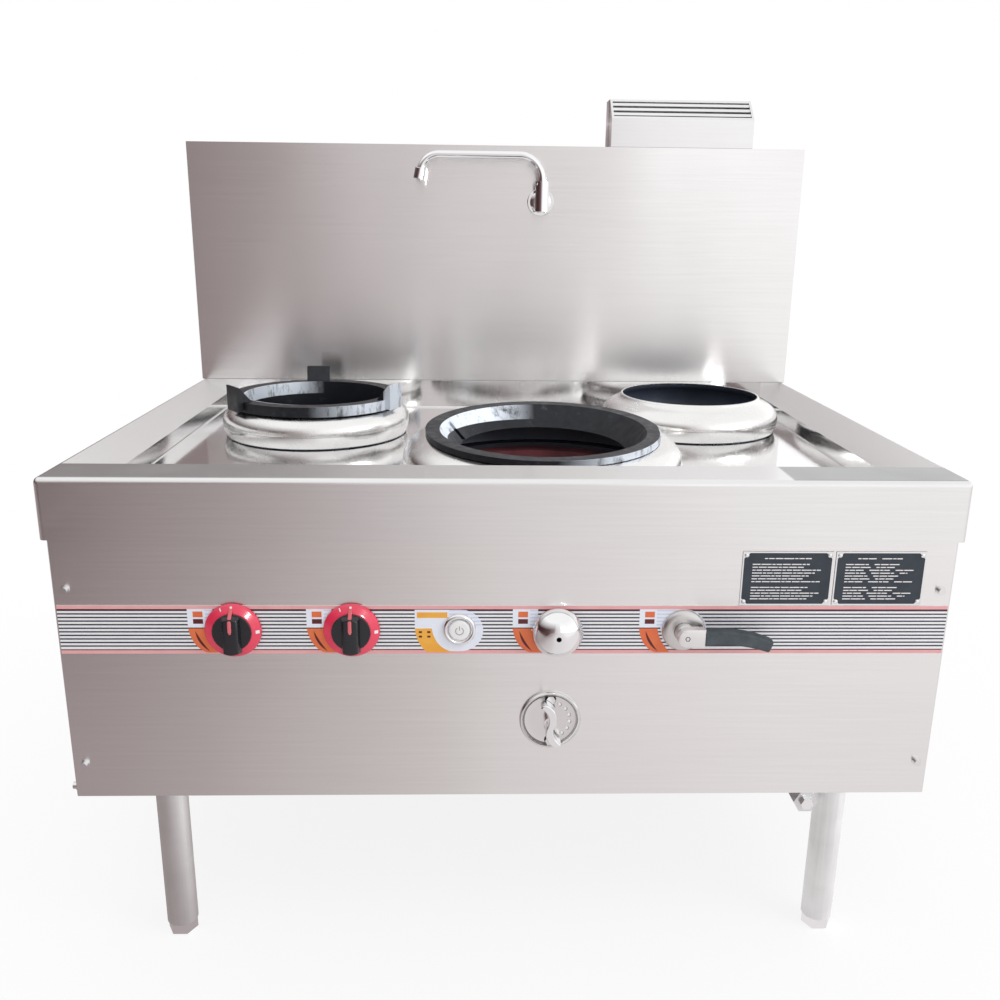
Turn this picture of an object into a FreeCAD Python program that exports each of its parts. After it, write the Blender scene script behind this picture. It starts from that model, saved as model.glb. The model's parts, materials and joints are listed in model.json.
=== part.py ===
import FreeCAD, Part

import math
import operator
import os
import types

import Sketcher

# A free-standing commercial wok range: a stainless worktop with a sunken deck, two forced-air wok burners
# and a warming well, a back splash with a swing faucet and a flue, a front panel with its controls, and the
# gas, air and water pieces behind it.  Millimetres, +Z up, +X to the cook's right, +Y away from the cook.
# The origin lies on the floor, under the centre of the bounding box.

doc = FreeCAD.newDocument("wok_range")

# ---------------------------------------------------------------------------------------------------------
# Driving dimensions.  "Behind" is measured from the apron's front face, heights from the floor.
# ---------------------------------------------------------------------------------------------------------
DIMENSIONS = [
    # worktop
    ("width", 1400.0, "overall width of the worktop"),
    ("rim_height", 815.0, "height of the worktop's rim"),
    ("apron_height", 96.0, "height of the apron all round the worktop"),
    ("rim_radius", 9.0, "rounding of the apron's top edge and front corners"),
    ("front_band", 90.0, "flat band along the front of the rim"),
    ("side_band", 58.0, "width of the sloping side bands, outer face to inner wall"),
    ("side_drop", 34.0, "fall of the side bands"),
    ("deck_drop", 66.0, "depth of the deck below the rim"),
    ("top_sheet", 1.5, "sheet thickness of worktop and splash"),
    # splash and rear box
    ("splash_box", 115.0, "depth of the box behind the splash's face"),
    ("splash_height", 534.0, "splash above the rim"),
    ("body_depth", 1060.0, "rear face of the body"),
    # cabinet
    ("side_inset", 10.0, "cabinet side inside the apron"),
    ("front_inset", 3.0, "front panel behind the apron's face"),
    ("body_bottom", 285.0, "lower edge of the cabinet"),
    ("panel_sheet", 1.5, "sheet thickness of the cabinet"),
    ("panel_return", 16.0, "depth of the folded edges of the cabinet panels"),
    ("panel_overlap", 28.0, "cabinet panels reach up behind the apron"),
    ("panel_corner", 4.0, "bend radius of the front panel's corners"),
    ("rail_side", 30.0, "square tube of the frame"),
    ("rail_wall", 2.0, "wall of the frame's tube"),
    # legs
    ("leg_spacing", 1104.0, "between the leg axes, side to side"),
    ("leg_behind", 45.0, "front leg axes behind the apron, and rear ones before the back"),
    ("leg_radius", 25.5, "two inch leg tube"),
    ("leg_wall", 1.5, "wall of the leg tube"),
    ("leg_plate", 68.0, "side of the square plate on each leg"),
    ("leg_plate_sheet", 4.0, "thickness of the leg plate"),
    ("leg_plate_lift", 2.0, "leg plate above the cabinet's lower edge"),
    ("foot_height", 22.0, "hexagon of the adjustable foot"),
    ("foot_flats", 43.0, "width of the hexagon across its flats"),
    ("foot_chamfer", 3.0, "chamfer under the foot"),
    ("foot_stem_radius", 8.0, "threaded stem of the foot"),
    ("foot_stem_length", 34.0, "length of the stem"),
    ("insert_height", 26.0, "threaded insert in the leg's end"),
    # clearances
    ("running_gap", 0.05, "radial gap of a shaft in its bearing"),
    ("free_gap", 0.3, "gap between curved pieces that move apart"),
    ("snug_gap", 0.2, "gap round a piece pushed into another"),
    # burner collars on the deck
    ("collar_sheet", 2.0, "sheet of the burner collars"),
    ("collar_bulge", 3.0, "how far a collar swells beyond its base"),
    ("collar_seat", 8.0, "deck under a collar, from its base inwards"),
    ("collar_belly", 22.0, "height of a collar's greatest radius above the deck"),
    ("left_rounding", 27.0, "rounded shoulder of the left collar"),
    ("centre_rounding", 38.0, "rounded shoulder of the centre collar"),
    ("warmer_rounding", 36.0, "rounded shoulder of the warming well's collar"),
    ("left_across", -384.0, "left burner's axis, from the middle"),
    ("left_room", 292.0, "left burner's axis before the splash"),
    ("left_collar_radius", 190.0, "left collar at the deck"),
    ("left_mouth_radius", 162.0, "left collar at its top edge"),
    ("left_mouth_rise", -2.0, "left collar's top edge above the rim"),
    ("centre_across", 72.5, "centre burner's axis, from the middle"),
    ("centre_behind", 345.0, "centre burner's axis"),
    ("centre_collar_radius", 251.0, "centre collar at the deck"),
    ("centre_mouth_radius", 203.0, "centre collar at its top edge"),
    ("centre_mouth_rise", -3.0, "centre collar's top edge above the rim, on the axis"),
    ("centre_tilt", 3.0, "degrees that the centre mouth leans towards the cook"),
    ("warmer_across", 421.0, "warming well's axis, from the middle"),
    ("warmer_room", 221.0, "warming well's axis before the splash"),
    ("warmer_collar_radius", 188.0, "warming well's collar at the deck"),
    ("warmer_mouth_radius", 144.0, "opening of the warming well"),
    ("warmer_neck", 12.0, "straight neck of the warming well"),
    ("warmer_rise", 9.0, "lip of the warming well above the rim"),
    ("warmer_lip", 6.0, "width of the rolled lip"),
    # wok rings
    ("left_ring_radius", 177.0, "outside of the left wok ring"),
    ("left_ring_inner", 147.0, "inside of the left wok ring"),
    ("left_ring_height", 20.0, "thickness of the left wok ring"),
    ("left_ring_skirt", 45.0, "locating skirt under the left ring"),
    ("lug_width", 50.0, "width of a wok lug"),
    ("lug_rise", 30.0, "lug above the ring"),
    ("lug_reach", 10.0, "lug beyond the ring's outside"),
    ("lug_depth", 30.0, "lug along the radius at its foot"),
    ("lug_top_depth", 4.0, "lug along the radius at its top"),
    ("lug_around", 97.0, "degrees from the cook's right to the rear lug, seen from above"),
    ("centre_ring_radius", 213.0, "outside of the centre wok ring"),
    ("centre_ring_inner", 188.0, "where the centre ring's cone starts"),
    ("centre_ring_edge", 11.0, "edge of the centre ring"),
    ("cone_drop", 38.0, "depth of the centre ring's cone"),
    ("cone_radius", 152.0, "foot of the centre ring's cone"),
    ("cone_wall", 10.0, "wall of the cone"),
    ("slot_width", 12.0, "slot in the cone"),
    ("slot_around", 160.0, "degrees from the cook's right to the slot, seen from above"),
    # fire chambers under the deck
    ("chamber_wall", 3.0, "wall of the fire chambers"),
    ("chamber_flange", 10.0, "flange that hangs a chamber under the deck"),
    ("left_chamber_radius", 172.0, "left chamber, outside"),
    ("centre_chamber_radius", 225.0, "centre chamber, outside"),
    ("warmer_chamber_radius", 170.0, "warming chamber, outside"),
    ("chamber_bottom", 505.0, "underside of the chambers, above the floor"),
    ("lining_top_gap", 8.0, "lining ends below the deck"),
    ("lining_mouth", 40.0, "thickness of a lining at its mouth"),
    ("lining_foot", 80.0, "thickness of a lining at its foot"),
    ("burner_radius", 62.0, "burner head"),
    ("burner_height", 46.0, "height of a burner head"),
    ("burner_wall", 8.0, "wall of a burner head"),
    ("port_radius", 4.0, "gas port of a burner head"),
    ("port_count", 12.0, "ports of a burner head"),
    ("tunnel_width", 120.0, "fire tunnel, inside"),
    ("tunnel_height", 110.0, "fire tunnel, inside"),
    ("tunnel_rise", 70.0, "fire tunnel above the chambers' underside"),
    ("tunnel_room", 255.0, "middle of the tunnel between left burner and well, before the splash"),
    ("duct_sheet", 2.0, "sheet of tunnels and flue"),
    # gas
    ("control_height", 575.0, "axes of the controls on the printed strip"),
    ("left_knob_across", -421.0, "left burner's gas knob"),
    ("centre_knob_across", -240.0, "centre burner's gas knob"),
    ("knob_radius", 43.5, "skirt of a gas knob"),
    ("knob_edge", 3.0, "straight edge of the skirt"),
    ("knob_face_radius", 30.0, "round black face"),
    ("knob_skirt_rise", 11.0, "skirt in front of the strip"),
    ("knob_face_rise", 14.0, "black face in front of the strip"),
    ("knob_bar_rise", 24.0, "grip bar in front of the strip"),
    ("knob_bar_width", 27.0, "width of the grip bar"),
    ("knob_bar_top", 29.0, "grip bar above the axis"),
    ("knob_bar_tail", 36.0, "grip bar below the axis"),
    ("bar_rounding", 3.0, "rounded edges of the grip bar"),
    ("control_gap", 1.0, "turning controls in front of the strip"),
    ("stem_radius", 5.0, "spindle of a valve"),
    ("stem_grip", 12.0, "spindle inside its knob"),
    ("panel_hole_radius", 11.0, "hole in the panel for a valve's neck"),
    ("valve_front", 22.0, "front of the valve bodies behind the strip"),
    ("valve_length", 40.0, "length of a valve body"),
    ("valve_radius", 20.0, "radius of a valve body"),
    ("neck_radius", 9.5, "neck of a valve, through the panel"),
    ("manifold_behind", 96.0, "axis of the gas manifold"),
    ("gas_pipe_radius", 13.5, "gas main, outside"),
    ("pipe_wall", 2.5, "wall of the gas main"),
    ("branch_radius", 9.0, "burner gas pipes, outside"),
    ("branch_wall", 1.5, "wall of the small pipes"),
    ("pipe_bend", 20.0, "bend radius of the pipes, on the axis"),
    ("gas_main_across", 499.0, "gas main under the body"),
    ("gas_main_height", 263.0, "axis of the gas main above the floor"),
    ("inlet_reach", 40.0, "pipe ends behind the body"),
    ("inlet_thread", 25.0, "threaded end of a supply pipe"),
    ("thread_depth", 0.3, "thread under the pipe's outside"),
    ("plug_front", 2.0, "face of the gas main's plug, behind the apron"),
    ("plug_flats", 18.0, "hexagon of the plug"),
    ("plug_length", 8.0, "length of the plug's hexagon"),
    ("plug_thread", 8.0, "radius of the plug's thread"),
    ("coupling_flats", 35.0, "hexagon of the coupling behind the plug"),
    ("socket_length", 30.0, "pipe socket behind the plug"),
    ("socket_radius", 17.5, "outside of the pipe socket"),
    ("hanger_sheet", 4.0, "strap that hangs the gas main"),
    ("gas_run_height", 485.0, "height of the gas and water runs"),
    ("valve_side_run", 52.0, "burner pipe beside its valve, axis to axis"),
    # air
    ("trunk_radius", 45.0, "air trunk, outside"),
    ("trunk_behind", 112.0, "axis of the air trunk"),
    ("trunk_left", -416.0, "left end of the air trunk"),
    ("trunk_right", 428.0, "right end of the air trunk"),
    ("air_branch_radius", 25.0, "air pipe to a wind box"),
    ("centre_branch_across", -2.0, "air pipe to the centre wind box"),
    ("wind_box_half", 100.0, "half side of a wind box"),
    ("wind_box_height", 120.0, "height of a wind box"),
    ("regulator_across", 70.0, "air regulator"),
    ("regulator_height", 421.0, "air regulator and trunk above the floor"),
    ("regulator_radius", 49.0, "regulator plate"),
    ("regulator_rim", 5.5, "raised rim of the plate"),
    ("regulator_rim_rise", 6.0, "rim in front of the panel"),
    ("regulator_plate_sheet", 2.0, "floor of the regulator plate"),
    ("index_radius", 30.0, "circle of the index holes"),
    ("index_hole", 2.6, "radius of an index hole"),
    ("index_count", 6.0, "index holes"),
    ("index_start", 27.0, "first index hole, degrees clockwise from the top"),
    ("index_span", 115.0, "degrees from the first index hole to the last"),
    ("bolt_circle", 35.5, "circle of the two regulator bolts"),
    ("bolt_flats", 13.0, "hexagon of the regulator bolts"),
    ("bolt_head", 5.5, "height of a bolt head"),
    ("handle_length", 76.0, "wavy regulator handle"),
    ("handle_width", 13.0, "thickness of the wave"),
    ("handle_wave", 26.0, "radius of the wave's arcs"),
    ("handle_rise", 19.0, "depth of the handle, front to back"),
    ("handle_lean", 17.0, "degrees the handle leans, anticlockwise"),
    ("handle_gap", 6.5, "handle in front of the plate's floor"),
    ("shaft_radius", 5.0, "damper shaft"),
    ("flap_sheet", 3.0, "damper flap"),
    ("flap_gap", 1.0, "flap inside the trunk"),
    ("blower_across", 380.0, "middle of the blower"),
    ("blower_behind", 330.0, "axis of the blower"),
    ("blower_height", 461.0, "axis of the blower above the floor"),
    ("blower_radius", 85.0, "blower housing"),
    ("blower_width", 76.0, "width of the blower housing"),
    ("blower_inlet", 48.0, "radius of the blower's inlet"),
    ("outlet_height", 66.0, "blower outlet"),
    ("impeller_radius", 68.0, "blower wheel"),
    ("impeller_width", 44.0, "width of the blower wheel"),
    ("impeller_back", 3.0, "back disc of the wheel"),
    ("running_room", 4.0, "wheel clear of the housing's side"),
    ("blade_count", 20.0, "blades of the wheel"),
    ("blade_depth", 14.0, "blade along the radius"),
    ("motor_radius", 52.0, "blower motor"),
    ("motor_length", 96.0, "length of the motor"),
    ("motor_shaft", 6.0, "radius of the motor shaft"),
    # power button
    ("button_across", -74.0, "power button"),
    ("button_lift", 1.0, "button above the axes of the other controls"),
    ("bezel_radius", 26.0, "bezel of the button"),
    ("bezel_rise", 6.0, "bezel in front of the strip"),
    ("cap_radius", 16.0, "button cap"),
    ("cap_rise", 8.5, "cap in front of the strip"),
    ("cap_length", 18.0, "length of the cap"),
    ("button_travel", 3.0, "travel of the button"),
    ("barrel_radius", 19.5, "barrel behind the panel"),
    ("barrel_length", 34.0, "length of the barrel behind the strip"),
    # dome tap
    ("dome_across", 77.0, "dome tap"),
    ("dome_radius", 39.5, "greatest radius of the dome"),
    ("dome_base_radius", 34.0, "foot of the dome"),
    ("dome_belly", 13.0, "height of the greatest radius over the foot"),
    ("dome_rise", 39.0, "dome in front of the strip"),
    ("dome_hole_radius", 4.0, "screw hole in the dome's tip"),
    ("dome_hole_depth", 9.0, "depth of the screw hole"),
    # lever valve
    ("lever_across", 273.5, "lever valve"),
    ("rose_radius", 33.5, "round flange behind the lever"),
    ("rose_rise", 9.0, "flange in front of the strip"),
    ("lever_hub_radius", 15.0, "hub of the lever"),
    ("lever_proud", 37.0, "lever in front of the strip"),
    ("lever_block_length", 42.0, "metal block of the lever"),
    ("lever_block_width", 29.0, "width of the block"),
    ("lever_block_depth", 15.0, "depth of the block, front to back"),
    ("grip_length", 106.0, "rubber grip"),
    ("grip_width", 25.0, "width of the grip at its root"),
    ("grip_end_width", 19.0, "width of the grip at its end"),
    ("grip_drop", 14.0, "fall of the grip's end"),
    ("grip_depth", 18.0, "depth of the grip, front to back"),
    # water
    ("water_across", 320.0, "water supply, from the rear"),
    ("water_lane", 200.0, "water pipe back to the faucet"),
    ("tail_length", 15.0, "faucet's tail behind the splash face"),
    ("water_riser_room", 45.0, "riser in the rear box, before the body's rear face"),
    ("faucet_across", 98.6, "faucet"),
    ("faucet_height", 1227.0, "faucet flange above the floor"),
    ("faucet_offset", 45.0, "faucet socket before the splash"),
    ("flange_radius", 29.0, "faucet flange"),
    ("flange_rise", 7.0, "faucet flange before the splash"),
    ("socket_barrel_radius", 15.0, "faucet socket"),
    ("socket_below", 21.0, "socket below the flange's centre"),
    ("socket_above", 44.0, "socket above the flange's centre"),
    ("spout_radius", 8.0, "spout tube, outside"),
    ("spout_wall", 1.2, "wall of the spout"),
    ("spout_depth", 36.0, "spout inside its socket"),
    ("spout_rise", 99.0, "spout's level run above the flange's centre"),
    ("spout_reach", 272.0, "spout's end from the socket's axis"),
    ("spout_bend", 52.0, "first bend of the spout"),
    ("nozzle_bend", 42.0, "second bend of the spout"),
    ("nozzle_turn", 78.0, "degrees of the second bend"),
    ("aerator_radius", 12.0, "aerator"),
    ("aerator_length", 24.0, "length of the aerator"),
    # flue
    ("hood_inset", 119.0, "hood inside the splash's right end"),
    ("hood_width", 324.0, "width of the flue hood"),
    ("hood_setback", 7.0, "hood's front behind the splash's face"),
    ("hood_depth", 105.0, "depth of the flue hood"),
    ("hood_upright", 62.0, "upright front of the hood"),
    ("hood_slope_rise", 45.0, "rise of the louvred slope"),
    ("hood_slope_run", 47.0, "run of the louvred slope"),
    ("louvre_count", 3.0, "louvre blades"),
    ("louvre_sheet", 2.0, "thickness of a blade"),
    ("louvre_width", 15.0, "blade, front to back"),
    ("louvre_margin", 5.0, "frame round the louvres"),
    ("riser_bottom", 545.0, "foot of the flue riser"),
    # printed strip, plates and screws
    ("strip_below", 40.0, "printed strip below the controls' axes"),
    ("strip_above", 39.7, "printed strip above the controls' axes"),
    ("strip_sheet", 1.0, "thickness of the printed strip"),
    ("plate_width", 140.0, "nameplate"),
    ("plate_lift", 1.5, "nameplates above the strip"),
    ("plate_drop", 15.5, "nameplates end below the apron"),
    ("plate_sheet", 1.0, "thickness of a nameplate"),
    ("plate_inset", 128.0, "middle of the right nameplate inside the worktop's right side"),
    ("plate_step", 144.0, "from one nameplate to the next"),
    ("rivet_radius", 3.6, "nameplate rivet"),
    ("rivet_rise", 1.8, "rivet before the plate"),
    ("rivet_inset", 7.0, "rivet from the plate's edges"),
    ("screw_inset", 19.0, "panel screws inside the cabinet's sides"),
    ("screw_above", 25.3, "upper panel screws above the strip"),
    ("screw_lift", 58.0, "lower panel screws above the cabinet's lower edge"),
    ("washer_radius", 7.5, "washer of a panel screw"),
    ("washer_sheet", 1.5, "thickness of the washer"),
    ("screw_radius", 5.5, "head of a panel screw"),
    ("screw_head", 6.0, "height of the head"),
    ("side_screw_height", 298.0, "side screws above the floor"),
    ("side_screw_front", 14.0, "first side screw behind the apron"),
    ("side_screw_step", 505.0, "from one side screw to the next"),
    ("vent_count", 9.0, "vent slots of the rear panel"),
    ("vent_width", 240.0, "length of a vent slot"),
    ("vent_height", 8.0, "height of a vent slot"),
    ("vent_step", 20.0, "from one vent slot to the next"),
    ("vent_low", 405.0, "lowest vent slot above the floor"),
]

SHEET = "sizes"
TOUCH = 0.01  # points closer than this coincide
EMPTY = 1e-6  # less than this is nothing
RUN_SHARE = 0.48  # most of a pipe's run that one bend may take
OPERATIONS = {"+": operator.add, "-": operator.sub, "*": operator.mul, "/": operator.truediv}


class Size:
    """A number together with the expression that ties it to the size sheet."""

    def __init__(self, value, text):
        self.value = value
        self.text = text

    def __add__(self, other):
        return combine(self, "+", other)

    def __radd__(self, other):
        return combine(other, "+", self)

    def __sub__(self, other):
        return combine(self, "-", other)

    def __rsub__(self, other):
        return combine(other, "-", self)

    def __mul__(self, other):
        return combine(self, "*", other)

    def __rmul__(self, other):
        return combine(other, "*", self)

    def __truediv__(self, other):
        return combine(self, "/", other)

    def __rtruediv__(self, other):
        return combine(other, "/", self)

    def __neg__(self):
        return combine(0, "-", self)


def as_size(thing):
    if isinstance(thing, Size):
        return thing
    return Size(float(thing), repr(float(thing)))


def combine(first, sign, second):
    first, second = as_size(first), as_size(second)
    value = OPERATIONS[sign](first.value, second.value)
    return Size(value, f"({first.text} {sign} {second.text})")


def cosine(degrees):
    degrees = as_size(degrees)
    return Size(math.cos(math.radians(degrees.value)), f"cos({degrees.text} * 1 deg)")


def sine(degrees):
    degrees = as_size(degrees)
    return Size(math.sin(math.radians(degrees.value)), f"sin({degrees.text} * 1 deg)")


def fill_sheet():
    """Writes one row for each dimension and hands back the names as Sizes."""
    sheet = doc.addObject("Spreadsheet::Sheet", SHEET)
    sizes = types.SimpleNamespace()
    for row, (name, value, meaning) in enumerate(DIMENSIONS, start=1):
        sheet.set(f"A{row}", name)
        sheet.set(f"B{row}", str(value))
        sheet.set(f"C{row}", meaning)
        sheet.setAlias(f"B{row}", name)
    doc.recompute()
    for name, _, _ in DIMENSIONS:
        setattr(sizes, name, Size(float(sheet.get(name)), f"{SHEET}.{name}"))
    return sizes


S = fill_sheet()
NODES = []

# Levels and faces that several pieces share.
LEFT, RIGHT = -S.width / 2, S.width / 2
APRON_BOTTOM = S.rim_height - S.apron_height
DECK = S.rim_height - S.deck_drop
DECK_UNDER = DECK - S.top_sheet
RIM_UNDER = S.rim_height - S.top_sheet
BACK_INSIDE = S.body_depth - S.panel_sheet
SIDE = S.width / 2 - S.side_inset
SIDE_INSIDE = SIDE - S.panel_sheet
PANEL_TOP = APRON_BOTTOM + S.panel_overlap
PANEL_INSIDE = S.front_inset + S.panel_sheet
SPLASH_TOP = S.rim_height + S.splash_height
STRIP_FACE = S.front_inset - S.strip_sheet
PLATE_TOP = S.body_bottom + S.leg_plate_lift + S.leg_plate_sheet
RAIL_TOP = PLATE_TOP + S.rail_side
FRAME_TOP = RIM_UNDER - S.rim_radius / 3
POST_INSIDE = SIDE_INSIDE - S.rail_side
FRONT_RAIL_BACK = PANEL_INSIDE + S.rail_side
REAR_RAIL_FRONT = BACK_INSIDE - S.rail_side
REAR_LEG = S.body_depth - S.leg_behind
VALVE_FACE = STRIP_FACE + S.valve_front
VALVE_BACK = VALVE_FACE + S.valve_length
BUTTON_HEIGHT = S.control_height + S.button_lift
SPLASH_FACE = S.body_depth - S.splash_box
SPOUT_BEHIND = SPLASH_FACE - S.faucet_offset
LEFT_BEHIND = SPLASH_FACE - S.left_room
WARMER_BEHIND = SPLASH_FACE - S.warmer_room
WATER_RISER = S.body_depth - S.water_riser_room
HOOD_FRONT = SPLASH_FACE + S.hood_setback
HOOD_LEFT = S.width / 2 - S.hood_inset - S.hood_width
STRIP_LOW = S.control_height - S.strip_below
STRIP_HIGH = S.control_height + S.strip_above
LEFT_GAS_LANE = S.left_knob_across + S.valve_side_run
CENTRE_GAS_LANE = S.centre_knob_across + S.valve_side_run
# Half of the whole depth, from the dome tap's tip to the ends of the pipes behind the body.
FRONT_REACH = S.dome_rise - STRIP_FACE
ORIGIN_BEHIND = (S.body_depth + S.inlet_reach - FRONT_REACH) / 2

# Turns that lay a piece made about +Z along another axis.
UPRIGHT = FreeCAD.Rotation()
TO_FRONT = FreeCAD.Rotation(FreeCAD.Vector(1, 0, 0), 90)  # +Z becomes -Y, +Y becomes +Z
TO_BACK = FreeCAD.Rotation(FreeCAD.Vector(1, 0, 0), -90)  # +Z becomes +Y
TO_RIGHT = FreeCAD.Rotation(FreeCAD.Vector(0, 1, 0), 90)  # +Z becomes +X


def place(thing, across, behind, height, turn=UPRIGHT):
    """Puts a piece at a place given from the middle, from the apron's face and from the floor."""
    thing.Placement = FreeCAD.Placement(FreeCAD.Vector(), turn)
    for axis, size in (("x", across), ("y", as_size(behind) - ORIGIN_BEHIND), ("z", height)):
        thing.setExpression(f".Placement.Base.{axis}", as_size(size).text)
    return thing


def tie(thing, **properties):
    for name, size in properties.items():
        thing.setExpression(name, as_size(size).text)
    return thing


def node(thing, label):
    """Marks an object as a finished piece of the range."""
    thing.Label = label
    NODES.append(thing)
    return thing


# Solids made of primitives, in overall coordinates.
def box(name, low, high):
    thing = doc.addObject("Part::Box", name)
    tie(thing, Length=high[0] - low[0], Width=high[1] - low[1], Height=high[2] - low[2])
    return place(thing, *low)


def rod(name, foot, length, radius, turn=UPRIGHT):
    thing = doc.addObject("Part::Cylinder", name)
    tie(thing, Radius=radius, Height=length)
    return place(thing, *foot, turn)


def hexagon(name, foot, length, flats, turn=UPRIGHT):
    thing = doc.addObject("Part::Prism", name)
    thing.Polygon = 6
    tie(thing, Circumradius=flats / 2 / cosine(30), Height=length)
    return place(thing, *foot, turn)


def join(name, pieces):
    thing = doc.addObject("Part::MultiFuse", name)
    thing.Shapes = pieces
    return thing


def group(name, pieces):
    """Separate solids of one kind as one piece."""
    thing = doc.addObject("Part::Compound", name)
    thing.Links = pieces
    return thing


def cut(name, base, tools):
    thing = doc.addObject("Part::Cut", name)
    thing.Base = base
    thing.Tool = tools[0] if len(tools) == 1 else join(f"{name}_tools", tools)
    return thing


def square_tube(name, low, high, along):
    """A rail of square tube; along is 0, 1 or 2 for X, Y or Z."""
    inner_low = [a if i == along else a + S.rail_wall for i, a in enumerate(low)]
    inner_high = [a if i == along else a - S.rail_wall for i, a in enumerate(high)]
    return cut(name, box(f"{name}_outside", low, high), [box(f"{name}_inside", inner_low, inner_high)])


# Bodies with sketches.
def body(name, across=0, behind=0, height=0, turn=UPRIGHT):
    owner = doc.addObject("PartDesign::Body", name)
    return place(owner, across, behind, height, turn)


def sketch(owner, plane, level=None):
    """A sketch on one of the body's own planes, lifted along its normal by level."""
    drawing = owner.newObject("Sketcher::SketchObject", f"{owner.Name}_sketch")
    support = [part for part in owner.Origin.OriginFeatures if part.Role == plane]
    drawing.AttachmentSupport = (support[0], [""])
    drawing.MapMode = "FlatFace"
    if level is not None:
        drawing.setExpression(".AttachmentOffset.Base.z", as_size(level).text)
    return drawing


def dimension(drawing, kind, *reference, size):
    drawing.addConstraint(Sketcher.Constraint(kind, *reference, as_size(size).value))
    drawing.setExpression(f"Constraints[{drawing.ConstraintCount - 1}]", as_size(size).text)


def arc_between(start, end, radius):
    """The short arc from start to end: anticlockwise for a positive radius, clockwise for a negative one."""
    chord = end - start
    rise = math.sqrt(max(radius * radius - chord.Length * chord.Length / 4, 0))
    left = FreeCAD.Vector(-chord.y, chord.x, 0).normalize()
    centre = (start + end) / 2 + left * math.copysign(rise, radius)
    first, last = (start, end) if radius > 0 else (end, start)
    angles = [math.atan2(p.y - centre.y, p.x - centre.x) for p in (first, last)]
    if angles[1] < angles[0]:
        angles[1] += 2 * math.pi
    circle = Part.Circle(centre, FreeCAD.Vector(0, 0, 1), abs(radius))
    return Part.ArcOfCircle(circle, *angles)


def outline(drawing, corners, closed=True):
    """Lines and arcs through corners (x, y) or (x, y, radius of the arc that follows)."""
    corners = [tuple(as_size(size) for size in corner) for corner in corners]
    points = [FreeCAD.Vector(corner[0].value, corner[1].value, 0) for corner in corners]
    count = len(corners) if closed else len(corners) - 1
    ends = []
    for i in range(count):
        start, end = points[i], points[(i + 1) % len(points)]
        if len(corners[i]) == 3:
            radius = corners[i][2]
            index = drawing.addGeometry(arc_between(start, end, radius.value), False)
            ends.append((index, 1, 2) if radius.value > 0 else (index, 2, 1))
        else:
            index = drawing.addGeometry(Part.LineSegment(start, end), False)
            ends.append((index, 1, 2))
    for i in range(count if closed else count - 1):
        index, _, last = ends[i]
        after, first, _ = ends[(i + 1) % count]
        drawing.addConstraint(Sketcher.Constraint("Coincident", index, last, after, first))
    for i, corner in enumerate(corners):
        index, first, last = ends[i] if i < count else ends[-1]
        vertex = first if i < count else last
        dimension(drawing, "DistanceX", -1, 1, index, vertex, size=corner[0])
        dimension(drawing, "DistanceY", -1, 1, index, vertex, size=corner[1])
        if len(corner) == 3 and i < count:
            radius = corner[2] if corner[2].value > 0 else -corner[2]
            dimension(drawing, "Radius", index, size=radius)
    return drawing


def rectangle(drawing, low, high):
    return outline(drawing, [low, (high[0], low[1]), high, (low[0], high[1])])


def circle(drawing, across, up, radius):
    across, up = as_size(across), as_size(up)
    middle = FreeCAD.Vector(across.value, up.value, 0)
    normal = FreeCAD.Vector(0, 0, 1)
    index = drawing.addGeometry(Part.Circle(middle, normal, as_size(radius).value), False)
    dimension(drawing, "DistanceX", -1, 1, index, 3, size=across)
    dimension(drawing, "DistanceY", -1, 1, index, 3, size=up)
    dimension(drawing, "Radius", index, size=radius)
    return drawing


def feature(owner, kind, profile, **properties):
    thing = owner.newObject(f"PartDesign::{kind}", f"{owner.Name}_{kind.lower()}")
    thing.Profile = profile
    return tie(thing, **properties)


def pad(owner, profile, length, reverse=False, symmetric=False):
    thing = feature(owner, "Pad", profile, Length=length)
    thing.Reversed = reverse
    thing.SideType = "Symmetric" if symmetric else "One side"
    return thing


def pocket(owner, profile, length, reverse=True, symmetric=False):
    """Cuts along the sketch's normal, or against it where reverse is False, and must take something away."""
    doc.recompute()
    before = owner.Shape.Volume
    thing = feature(owner, "Pocket", profile, Length=length)
    thing.Reversed = reverse
    thing.SideType = "Symmetric" if symmetric else "One side"
    doc.recompute()
    if before - thing.Shape.Volume < EMPTY:
        raise ValueError(f"{thing.Label} cuts nothing")
    return thing


def revolve(owner, profile, kind="Revolution"):
    thing = feature(owner, kind, profile)
    thing.ReferenceAxis = (profile, ["V_Axis"])
    thing.Angle = 360
    return thing


def turned(name, corners, across=0, behind=0, height=0, turn=UPRIGHT):
    """A body turned about its own axis; corners are (radius, level)."""
    owner = body(name, across, behind, height, turn)
    revolve(owner, outline(sketch(owner, "XZ_Plane"), corners))
    return owner


def ring_of(owner, original, count, span=None):
    """Repeats a feature about the body's Z axis, all round or over a span of degrees."""
    pattern = owner.newObject("PartDesign::PolarPattern", f"{owner.Name}_pattern")
    pattern.Originals = [original]
    axis = [part for part in owner.Origin.OriginFeatures if part.Role == "Z_Axis"]
    pattern.Axis = (axis[0], [""])
    tie(pattern, Occurrences=count, Angle=360 if span is None else span)
    owner.Tip = pattern
    return pattern


def edges_where(thing, test):
    """Names of the edges whose middle passes the test."""
    doc.recompute()
    names = []
    for number, edge in enumerate(thing.Shape.Edges, start=1):
        middle = edge.valueAt((edge.FirstParameter + edge.LastParameter) / 2)
        if test(middle, edge):
            names.append(f"Edge{number}")
    if not names:
        raise ValueError(f"no edge of {thing.Label} to round")
    return names


def soften(owner, base, radius, test, kind="Fillet"):
    """Rounds or chamfers the edges of base that pass the test."""
    thing = owner.newObject(f"PartDesign::{kind}", f"{owner.Name}_{kind.lower()}")
    thing.Base = (base, edges_where(base, test))
    tie(thing, **{"Radius" if kind == "Fillet" else "Size": radius})
    return thing


def near(value, size):
    return abs(value - as_size(size).value) < TOUCH


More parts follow.
